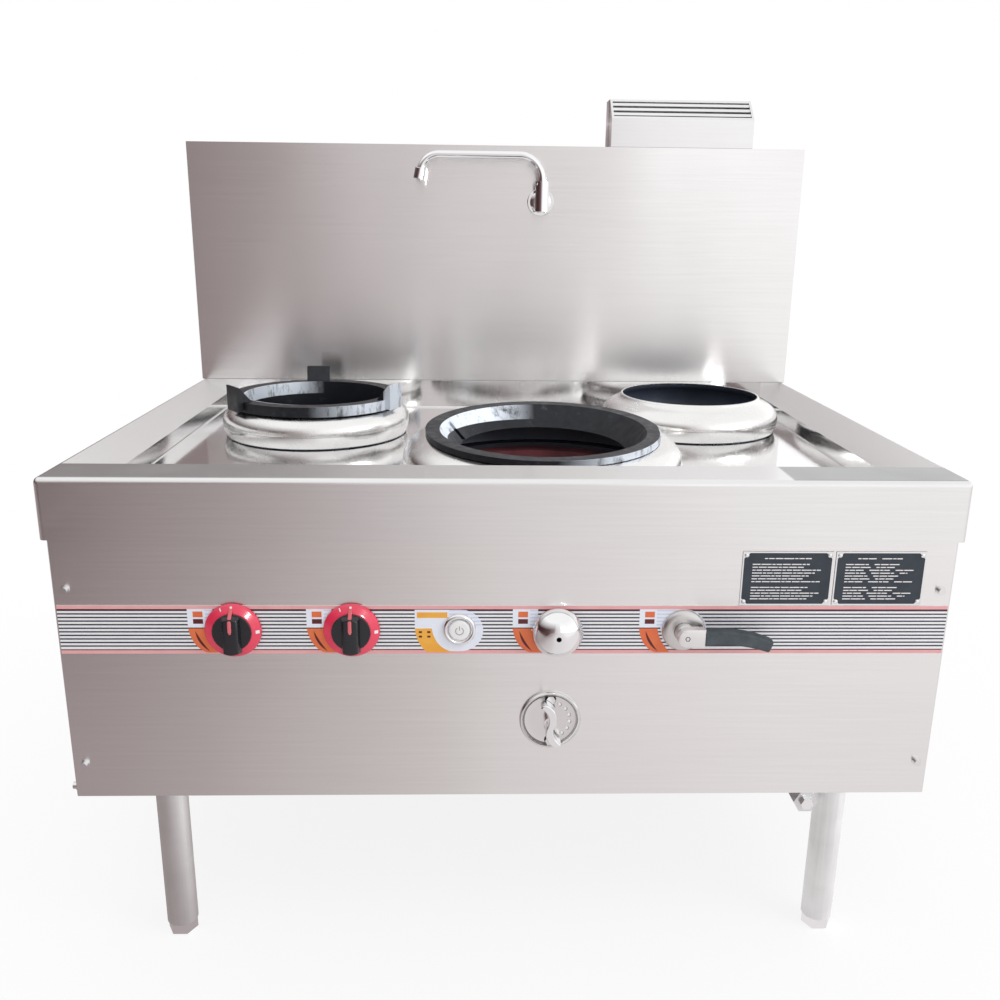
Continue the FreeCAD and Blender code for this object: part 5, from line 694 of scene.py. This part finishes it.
def make_button_print(name):
    """The wider field round the power button: a patch with a round end, a swoosh, a bar and four dots."""
    move = strip_move(ACROSS[name])
    field = [(FIELD_LEFT, 42), (FIELD_LEFT, 73)] + arc((2, 38.5), 34.5, 90, -90)
    field += bow((-45, 4), (-66, 12), (FIELD_LEFT, 42))[:-1]
    quarter = bow((-43, 42), (-38, 8), (-8, 2.2)) + bow((-50, 2.2), (-66, 14), (FIELD_LEFT, 42))
    swoosh = Form().slab(quarter, move, 0.0, SWOOSH_OUT)
    swoosh.slab(rectangle(-65.6, 59.6, -18.7, 68.7), move, 0.0, SWOOSH_OUT)
    boxes = Form()
    for u in (-63.0, -50.0):
        for v in (36.0, 28.5):
            boxes.slab(rectangle(u, v - 1.6, u + 5.0, v + 1.6), move, 0.0, BOXES_OUT)
    print_pieces(name, field, swoosh, AMBER_INK, boxes)


# ---- Nameplates ----
PLATE_WIDTH, BORDER, CLIP = 140.0, 2.2, 9.0
RULE_COUNT, RULE_STEP, RULE_HEIGHT, FIRST_RULE = 15, 4.7, 1.5, 12.0
TITLE_INSET, LEFT_INSET, RIGHT_INSET, RAGGED_STEP = 34.0, 16.0, 18.0, 9.0
DASH_LENGTH, DASH_STEP, DASH_GAP, COLUMN_GAP = 5.0, 3.5, 1.4, 9.0
BLANK_ROWS = (1, 9)


def plate_rules(form, move, height, in_columns):
    """Rows of plain dashes of uneven length under a shorter first row."""
    for row in range(RULE_COUNT):
        if row in BLANK_ROWS:
            continue
        level = height - FIRST_RULE - row * RULE_STEP
        start, stop = TITLE_INSET, PLATE_WIDTH - TITLE_INSET
        if row:
            start, stop = LEFT_INSET, PLATE_WIDTH - (RIGHT_INSET + RAGGED_STEP * (row * 5 % 4))
        dash = 0
        while start < stop:
            length = DASH_LENGTH + DASH_STEP * ((row * 7 + dash * 5) % 4)
            dash_end = min(start + length, stop)
            form.slab(rectangle(start, level, dash_end, level + RULE_HEIGHT), move, 0.0, 0.15)
            start += length + (COLUMN_GAP if in_columns and dash % 3 == 2 else DASH_GAP)
            dash += 1


def make_nameplates():
    """Two dark plates with pale rims, clipped corners, rivet heads and rows of plain dashes."""
    low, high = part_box("nameplates")
    top = (high.z - low.z) / MM
    inner_right, inner_top = PLATE_WIDTH - BORDER, top - BORDER
    dome = [(AXIS, 0.0), (3.7, 0.0), (3.7, 0.5), (3.3, 1.2), (2.2, 1.75), (AXIS, 1.95)]
    rims, rules, rivets = Form(), Form(), Form()
    for left, in_columns in ((low.x, False), (high.x - PLATE_WIDTH * MM, True)):
        move = facing(Vector((left, low.y, low.z)))
        for side in (rectangle(0, 0, BORDER, top), rectangle(inner_right, 0, PLATE_WIDTH, top),
                     rectangle(BORDER, 0, inner_right, BORDER),
                     rectangle(BORDER, inner_top, inner_right, top)):
            rims.slab(side, move, 0.0, 0.5)
        for u, away in ((BORDER, CLIP), (inner_right, -CLIP)):
            for v, up in ((BORDER, CLIP), (inner_top, -CLIP)):
                rims.slab([(u, v), (u + away, v), (u, v + up)], move, 0.0, 0.35)
                head = Vector((left + (u + away * 0.42) * MM, low.y, low.z + (v + up * 0.42) * MM))
                rivets.turned(dome, facing(head), 32)
        plate_rules(rules, move, top, in_columns)
    piece(rims, "nameplate_borders", PLATED, "root")
    piece(rules, "nameplate_rules", WHITE_PRINT_AND_LIGHT, "root")
    piece(rivets, "nameplate_rivet_heads", SATIN, "root", ["nameplate_rivets"])


# ---- Air regulator ----
INDEX_CIRCLE, INDEX_FIRST, INDEX_STEP, INDEX_COUNT = 30.0, 63.0, 23.0, 6
BOLT_CIRCLE = 35.5


def make_regulator_plate():
    at = joint_place("regulator_turn")
    at.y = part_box("front_panel")[0].y
    move = facing(at)
    plate = [(5.5, 0.0), (49.0, 0.0), (49.0, 2.6), (48.3, 4.6), (46.9, 5.9), (45.4, 6.0), (44.2, 5.1),
             (43.3, 3.6), (42.4, 2.5), (41.0, 2.0), (30.0, 2.0), (5.5, 2.0)]
    piece(Form().turned(plate, move), "regulator_dish", SATIN_PLATE, "root", ["regulator_plate"])
    # A grey ring laid in the dish's groove: painted shade.
    shade = [(41.2, 1.9), (43.1, 2.9), (43.9, 4.1), (43.2, 4.3), (42.4, 3.2), (40.8, 2.25)]
    piece(Form().turned(shade, move), "regulator_groove", SEAM_AND_SHADE, "root")
    lit_domes, shadow_discs = Form(), Form()
    # Each index hole gets a grey disc set off to the lower right, a painted shadow crescent at its edge, and
    # a white dome that is painted light where the hole shows lit.
    for number in range(INDEX_COUNT):
        angle = math.radians(INDEX_FIRST - number * INDEX_STEP)
        u, v = INDEX_CIRCLE * math.cos(angle), INDEX_CIRCLE * math.sin(angle)
        shadow_at = move @ Matrix.Translation((u + 1.0, v - 0.5, 0))
        shadow_discs.turned([(AXIS, 1.8), (3.4, 1.8), (3.4, 2.12), (AXIS, 2.12)], shadow_at, 24)
        spot = move @ Matrix.Translation((u, v, 0))
        lit_domes.turned([(AXIS, 1.8), (2.9, 1.8), (2.9, 2.3), (2.6, 3.1), (1.7, 3.7), (AXIS, 3.9)], spot, 24)
    piece(lit_domes, "regulator_index_dots", WHITE_PRINT_AND_LIGHT, "root")
    piece(shadow_discs, "regulator_index_wells", SEAM_AND_SHADE, "root")
    rings = Form()
    for sign in (1, -1):
        spot = move @ Matrix.Translation((0, sign * BOLT_CIRCLE, 0))
        rings.turned([(6.0, 1.9), (8.9, 1.9), (8.9, 2.2), (6.0, 2.2)], spot, 32)
    piece(rings, "regulator_bolt_washers", BLACK, "root")


# ---- Lever ----
def make_lever_arm():
    """The brushed rose, and the eight-sided block that turns on it with its spindle."""
    at = joint_place("lever_turn")
    at.y = STRIP_FACE
    move = facing(at)
    rose = [(15.6, 0.0), (33.5, 0.0), (33.5, 3.0), (32.9, 4.6), (31.4, 6.2), (29.0, 7.6), (26.0, 8.6),
            (22.0, 9.0), (15.6, 9.0)]
    piece(Form().turned(rose, move), "lever_rose_face", ROSE, "root", ["lever_rose"])
    hub = Form().turned([(AXIS, 1.2), (15.0, 1.2), (15.0, 20.4), (14.0, 22.1), (AXIS, 22.1)], move)
    hub.turned([(AXIS, -36.0), (5.9, -36.0), (5.9, 1.3), (AXIS, 1.3)], move, 32)
    right = (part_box("lever_arm")[1].x - at.x) / MM
    rings = []
    for w, inset_by in ((22.0, 0.0), (35.6, 0.0), (36.5, 0.5), (37.0, 1.6)):
        edge, end = 14.5 - inset_by, right - inset_by * 0.4
        rings.append([(u, v, w) for u, v in (
            (end, -edge), (end, edge), (-2.0, edge), (-9.5, edge - 3.0), (-edge, 4.5), (-edge, -4.5),
            (-9.5, 3.0 - edge), (-2.0, -edge))])
    hub.rings(rings, move)
    piece(hub, "lever_block", BLOCK, "lever", ["lever_arm"], sharp=25.0)


# ---- Burner collars ----
# Outside of each collar as (radius, level): above the deck for the left one and the warming well, below the
# mouth for the centre one.
LEFT_SECTION = [(184.0, 0.0), (188.3, 7.0), (191.2, 15.0), (192.8, 24.0), (193.0, 30.0), (192.2, 37.0),
                (190.0, 43.5), (186.4, 49.5), (181.5, 54.8), (175.5, 59.2), (169.5, 62.2), (165.0, 63.5),
                (162.0, 64.0)]
WARMER_SECTION = [(182.0, 0.0), (186.3, 7.0), (189.2, 15.0), (190.8, 24.0), (191.0, 30.0), (189.9, 37.0),
                  (187.2, 43.5), (183.0, 49.5), (177.5, 54.8), (170.5, 59.4), (163.5, 62.6), (157.5, 65.2),
                  (153.2, 68.2), (150.6, 71.4), (149.6, 74.2), (147.6, 75.0), (145.2, 74.6)]
CENTRE_SECTION = [(240.0, -82.0), (246.5, -68.0), (250.8, -57.0), (253.3, -47.0), (254.0, -39.0),
                  (252.6, -31.0), (249.0, -23.5), (243.6, -16.8), (236.5, -11.0), (228.0, -6.4),
                  (218.5, -3.0), (210.0, -1.0), (203.0, 0.0)]
CENTRE_LEAN = math.radians(3.0)
SHEET, LINING_SHEET = 1.9, 0.3
SEAM_LEVEL, SEAM_HALF, SEAM_OUT, SEAM_DEPTH = 27.0, 0.35, 0.1, 1.0


def inset(section, depth):
    """A section moved inwards by a depth, square to its run."""
    moved = []
    for i, (radius, level) in enumerate(section):
        before, after = section[max(i - 1, 0)], section[min(i + 1, len(section) - 1)]
        length = math.hypot(after[0] - before[0], after[1] - before[1])
        across, up = (after[1] - before[1]) / length, -(after[0] - before[0]) / length
        moved.append((radius - across * depth, level - up * depth))
    return moved


def make_collar(node, outside, move, cut_level=None):
    """A collar with a rounded belly; its burnt inside is a lining of its own."""
    inside = inset(outside, SHEET)
    shell = Form().turned(outside + inside[::-1], move, 2 * ROUND)
    lining = Form().turned(inside + inset(inside, LINING_SHEET)[::-1], move, 2 * ROUND)
    made = [piece(shell, f"{node}_shell", COLLAR, "root", [node], 50.0),
            piece(lining, f"{node}_lining", LINING, "root")]
    if cut_level is not None:
        for cut in made:
            trim(cut, cut_level)


def trim(made, level):
    """Cuts away what hangs below a level."""
    shape = bmesh.new()
    shape.from_mesh(made.data)
    bmesh.ops.bisect_plane(shape, geom=shape.verts[:] + shape.edges[:] + shape.faces[:],
                           plane_co=(0, 0, level), plane_no=(0, 0, 1), clear_inner=True)
    shape.to_mesh(made.data)
    shape.free()


def make_collars():
    seams = Form()
    for node, section in (("left_collar", LEFT_SECTION), ("warmer_collar", WARMER_SECTION)):
        at = middle(node)
        at.z = DECK
        make_collar(node, section, upright(at))
        widest = max(section)[0]
        deep, out, flare = widest - SEAM_DEPTH, widest + SEAM_OUT, SEAM_HALF + 0.05
        line = [(deep, SEAM_LEVEL - flare), (out, SEAM_LEVEL - SEAM_HALF),
                (out, SEAM_LEVEL + SEAM_HALF), (deep, SEAM_LEVEL + flare)]
        seams.turned(line, upright(at), 2 * ROUND)
    at = CENTRE_BURNER.copy()
    at.z = RIM - 3 * MM
    make_collar("centre_collar", CENTRE_SECTION, upright(at, CENTRE_LEAN), DECK)
    piece(seams, "collar_seams", SEAM_AND_SHADE, "root")


# ---- Folds and creases of the sheet metal ----
FOLD_RADIUS, FOLD_STEPS = 3 * MM, 6


def corner_fold(form, start, end, first, second):
    """A hollow rounding along an inside corner, from start to end; first and second point along the walls."""
    rings = []
    for at in (start, end):
        ring = [at]
        for i in range(FOLD_STEPS + 1):
            angle = math.pi / 2 * i / FOLD_STEPS
            ring.append(at + first * FOLD_RADIUS * (1 - math.sin(angle))
                        + second * FOLD_RADIUS * (1 - math.cos(angle)))
        rings.append(ring)
    form.rings(rings, Matrix.Identity(4))


def make_folds():
    """Rounded inside corners where the deck meets the basin's walls and the splash."""
    half = WORKTOP_SIDE - SIDE_BAND
    front, rear = APRON_FACE + FRONT_BAND, SPLASH_FACE
    east, north, up = Vector((1, 0, 0)), Vector((0, 1, 0)), Vector((0, 0, 1))
    front_left, front_right = Vector((-half, front, DECK)), Vector((half, front, DECK))
    rear_left, rear_right = Vector((-half, rear, DECK)), Vector((half, rear, DECK))
    folds = Form()
    corner_fold(folds, rear_left, rear_right, up, -north)
    corner_fold(folds, front_left, front_right, north, up)
    corner_fold(folds, front_left, rear_left, up, east)
    corner_fold(folds, front_right, rear_right, -east, up)
    piece(folds, "basin_folds", WORKTOP, "root", sharp=60.0)


def make_creases():
    """Dark joint lines: at the splash's foot, at the hood's foot and across the rim's rear corners."""
    lines = Form()
    edge, band = WORKTOP_SIDE / MM, SIDE_BAND / MM
    foot = Matrix.Translation((0, SPLASH_FACE, RIM)) @ Matrix.Scale(MM, 4)
    lines.bar((4 - edge, -0.9, 0.05), (edge - 4, 0.0, 1.0), foot)
    low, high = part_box("flue_hood")
    hood = Matrix.Translation((0, low.y, low.z)) @ Matrix.Scale(MM, 4)
    lines.bar((low.x / MM, -0.8, 0.05), (high.x / MM, 0.0, 1.2), hood)
    for sign in (-1, 1):
        inner, outer = sign * (edge - band), sign * (edge - 3)
        mitre = [(inner, -1.0 - band), (outer, -1.0), (outer, -0.3), (inner, -0.3 - band)]
        lines.slab(mitre, foot, 0.02, 0.2)
    piece(lines, "sheet_creases", SEAM_AND_SHADE, "root")


LOUVRE_COUNT = 3
SLOPE_FOOT, SLOPE_RISE, SLOPE_RUN = 62.0, 45.0, 47.0  # the hood's slope: its lower edge, height and depth


def make_louvres():
    """Thin bright blades across the hood's slope, one over each louvre."""
    low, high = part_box("flue_louvres")
    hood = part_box("flue_hood")[0]
    section = [(-1.2, -1.6), (0.2, -2.4), (15.0, -5.5), (15.0, -3.5), (5.0, 4.2), (3.4, 4.6)]
    blades = Form()
    for number in range(LOUVRE_COUNT):
        share = (number + 1) / (LOUVRE_COUNT + 1)
        behind, up = share * SLOPE_RUN + 1.5, SLOPE_FOOT + share * SLOPE_RISE - 2.0
        move = Matrix.Translation((0, hood.y + behind * MM, hood.z + up * MM)) @ Matrix.Scale(MM, 4)
        blades.rings([[(x / MM, y, z) for y, z in section] for x in (low.x, high.x)], move)
    piece(blades, "louvre_blades", HOOD, "root", ["flue_louvres"], 20.0)


def make_flange():
    """The domed cover plate where the faucet leaves the splash."""
    at = joint_place("spout_swing")
    at.y = SPLASH_FACE
    plate = [(10.0, 0.1), (30.5, 0.1), (30.5, 1.6), (29.0, 3.6), (24.0, 7.2), (18.0, 9.6), (13.5, 10.6),
             (10.0, 10.8)]
    piece(Form().turned(plate, facing(at)), "faucet_cover_plate", CHROME, "root")


# ---- Studio: camera, floor, world and lamps ----
LENS = 35.215
CAMERA_PLACE = Vector((-0.0546, -1.931, 1.181))
CAMERA_RIGHT = Vector((0.99960, -0.02594, 0.01116))
CAMERA_UP = Vector((-0.00366, 0.27291, 0.96204))
WHITE = (1.0, 1.0, 1.0)
STEEL = 0.86  # share of light that the sheet gives back
CAST = 0.11  # how much warmer than grey the dark end of the mirrored light is
REACH = 1.0  # the bands run from this far left of straight ahead to this far right
# What the sheet mirrors, as bands of (sideways share of the way, brightness on the screen's scale).
ROOM = ((-0.95, 0.24), (-0.60, 0.33), (-0.45, 0.41), (-0.26, 0.51), (-0.18, 0.60), (-0.14, 0.74),
        (-0.11, 0.81), (-0.085, 0.76), (-0.02, 0.82), (0.077, 0.86), (0.15, 0.87), (0.16, 1.0))
FAR_FLOOR = ((-0.50, 0.33), (-0.44, 0.46), (-0.35, 0.56), (-0.17, 0.66), (0.01, 0.81), (0.19, 0.87),
             (0.37, 0.93))
NEAR_FLOOR = ((-0.44, 0.61), (-0.31, 0.655), (-0.175, 0.725), (-0.036, 0.775), (0.033, 0.82), (0.35, 0.86))
NEAR_LIMIT, FAR_LIMIT = -1.35, -2.9  # the floor's bands change between these distances
FAN_EAST, FAN_NORTH, FAN_LEAST = -0.0546, 0.874, 0.3  # the floor's bands fan out from this place
FLOOR_REACH = 30.0
ROOM_LIGHT = 0.75  # strength of the light that the room gives to all but metal
WALL_TOP, CEILING = 0.22, 0.7  # the mirrored room grows white between these heights
SHADOW_FULL, SHADOW_END, SHADOW_SHARE = 0.7, 1.9, 0.14  # how far out the floor's shadow fades for the camera


def make_camera():
    data = bpy.data.cameras.new("camera")
    data.lens = LENS
    data.sensor_width = 36.0
    camera = bpy.data.objects.new("camera", data)
    bpy.context.scene.collection.objects.link(camera)
    turn = Matrix((CAMERA_RIGHT, CAMERA_UP, CAMERA_RIGHT.cross(CAMERA_UP))).transposed()
    camera.matrix_world = Matrix.Translation(CAMERA_PLACE) @ turn.to_4x4()
    bpy.context.scene.camera = camera


def as_light(tone):
    """A warm grey of this brightness on the screen's scale, as light; the cast fades towards white."""
    cool = tone - CAST * (1 - tone)
    return tuple(((channel + 0.055) / 1.055) ** 2.4 for channel in (tone, cool, cool))


def tone_bands(tree, side, bands):
    """The bands of tone as a ramp over the sideways share."""
    stops = []
    for at, tone in bands:
        light = tuple(channel / STEEL for channel in as_light(tone))
        stops.append(((at + REACH) / (2 * REACH), light))
    return ramp(tree, spread(tree, side, -REACH, REACH), stops)


def seen_by_all(tree, camera, metal, light):
    """One shader for the camera and glass, one for metal and one for the rest."""
    ray = add(tree, "LightPath")
    open_ray = maths(tree, "MAXIMUM", ray.outputs["Is Camera Ray"], ray.outputs["Is Transmission Ray"])
    closed = add(tree, "MixShader",
                 {0: ray.outputs["Is Glossy Ray"], 1: light.outputs[0], 2: metal.outputs[0]})
    return add(tree, "MixShader", {0: open_ray, 1: closed.outputs[0], 2: camera.outputs[0]})


def make_world():
    """White where the camera and glass look; metal sees a room that is darker at the cook's left."""
    world = bpy.data.worlds.new("studio")
    bpy.context.scene.world = world
    world.use_nodes = True
    tree = world.node_tree
    tree.nodes.clear()
    east, north, up = add(tree, "SeparateXYZ", {0: add(tree, "TexCoord").outputs["Generated"]}).outputs
    side = maths(tree, "DIVIDE", east, maths(tree, "MAXIMUM", distance(tree, east, north), 0.05))
    room = blend_colour(tree, spread(tree, up, WALL_TOP, CEILING), tone_bands(tree, side, ROOM), WHITE)
    lit = add(tree, "Background", {"Color": (1.0, 0.99, 0.98), "Strength": ROOM_LIGHT})
    seen = add(tree, "Background", {"Color": room, "Strength": 1.0})
    white = add(tree, "Background", {"Color": WHITE, "Strength": 1.0})
    end_with(tree, seen_by_all(tree, white, seen, lit), "OutputWorld")


def make_floor():
    """A pale floor that keeps a faint shadow; metal sees it lit from the cook's right."""
    material, tree = new_material("pale_floor")
    east, north, _ = axes(tree)
    ahead = maths(tree, "MAXIMUM", maths(tree, "SUBTRACT", FAN_NORTH, north), FAN_LEAST)
    side = maths(tree, "DIVIDE", maths(tree, "SUBTRACT", east, FAN_EAST), ahead)
    far = spread(tree, north, NEAR_LIMIT, FAR_LIMIT)
    tone = blend_colour(tree, far, tone_bands(tree, side, NEAR_FLOOR), tone_bands(tree, side, FAR_FLOOR))
    pale = blend_colour(tree, noise(tree, 3.0), (0.86, 0.86, 0.86), (0.90, 0.90, 0.90))
    matte = add(tree, "BsdfDiffuse", {"Color": pale})
    white = add(tree, "Emission", {"Color": WHITE, "Strength": 1.0})
    glossy = add(tree, "Emission", {"Color": tone, "Strength": 1.0})
    shadow = spread(tree, distance(tree, east, north), SHADOW_FULL, SHADOW_END, SHADOW_SHARE, 0.0)
    seen = add(tree, "MixShader", {0: shadow, 1: white.outputs[0], 2: matte.outputs[0]})
    end_with(tree, seen_by_all(tree, seen, glossy, matte))
    mesh = bpy.data.meshes.new("floor")
    corners = rectangle(-FLOOR_REACH, -FLOOR_REACH, FLOOR_REACH, FLOOR_REACH)
    mesh.from_pydata([(x, y, 0.0) for x, y in corners], [], [(0, 1, 2, 3)])
    mesh.materials.append(material)
    floor = bpy.data.objects.new("floor", mesh)
    bpy.context.scene.collection.objects.link(floor)


def make_lamp(name, place_at, aim, width, height, power):
    """An area lamp that lights the object without showing in it."""
    data = bpy.data.lights.new(name, "AREA")
    data.shape = "RECTANGLE"
    data.size = width
    data.size_y = height
    data.energy = power
    lamp = bpy.data.objects.new(name, data)
    lamp.location = place_at
    lamp.rotation_euler = (Vector(aim) - Vector(place_at)).to_track_quat("-Z", "Y").to_euler()
    lamp.visible_camera = False
    lamp.visible_glossy = False
    bpy.context.scene.collection.objects.link(lamp)
    return lamp


def make_windows():
    """Three bright windows, each of which shows only in the tubes, in the burners or in the controls."""
    tubes = ("legs", "_foot", "gas_plug", "gas_main_pipe", "faucet_spout", "faucet_socket", "aerator")
    bodies = ("left_wok_ring", "centre_wok_ring", "collar")
    controls = ("_skirt", "_grip", "bezel", "cover_plate", "dome_knob")
    for name, at, aim, size, power, words in (
            ("tube_window", (2.6, -1.1, 0.9), (0.0, 0.0, 0.5), (1.3, 1.7), 150.0, tubes),
            ("body_window", (2.6, -1.5, 1.3), (0.0, 0.0, 0.6), (1.4, 1.7), 40.0, bodies),
            ("front_window", (0.9, -3.2, 1.5), (-0.2, 0.0, 0.6), (0.35, 0.5), 24.0, controls)):
        lit = bpy.data.collections.new(f"{name}_lit")
        for made in bpy.context.scene.objects:
            if made.type == "MESH" and any(word in made.name for word in words):
                lit.objects.link(made)
        lamp = make_lamp(name, at, aim, *size, power)
        lamp.visible_glossy = True
        lamp.light_linking.receiver_collection = lit


make_camera()
make_world()
make_floor()
make_lamp("key", (2.3, -1.6, 2.7), (0.1, 0.0, 0.8), 1.6, 1.6, 38.0)
make_lamp("top", (-0.5, 0.4, 3.2), (-0.3, 0.1, 0.8), 2.4, 1.6, 22.0)

make_knob("left", "left_gas_knob", "left_gas_turn")
make_knob("centre", "centre_gas_knob", "centre_gas_turn")
make_button()
make_screw_holes()
make_stripes()
make_print("left_knob")
make_print("centre_knob")
make_button_print("button")
make_print("dome")
make_print("lever", round_end=True)
for control in ("left_knob", "dome", "centre_knob"):
    faded_lines(control, -42, FIELD_RIGHT)
faded_lines("lever", -42, 34, (37.0, 36.5))
faded_lines("button", -16, 33, (38.5, 36.0))
make_nameplates()
make_regulator_plate()
make_lever_arm()
make_collars()
make_folds()
make_creases()
make_flange()
make_louvres()
make_windows()
bpy.context.scene.view_settings.view_transform = "Standard"
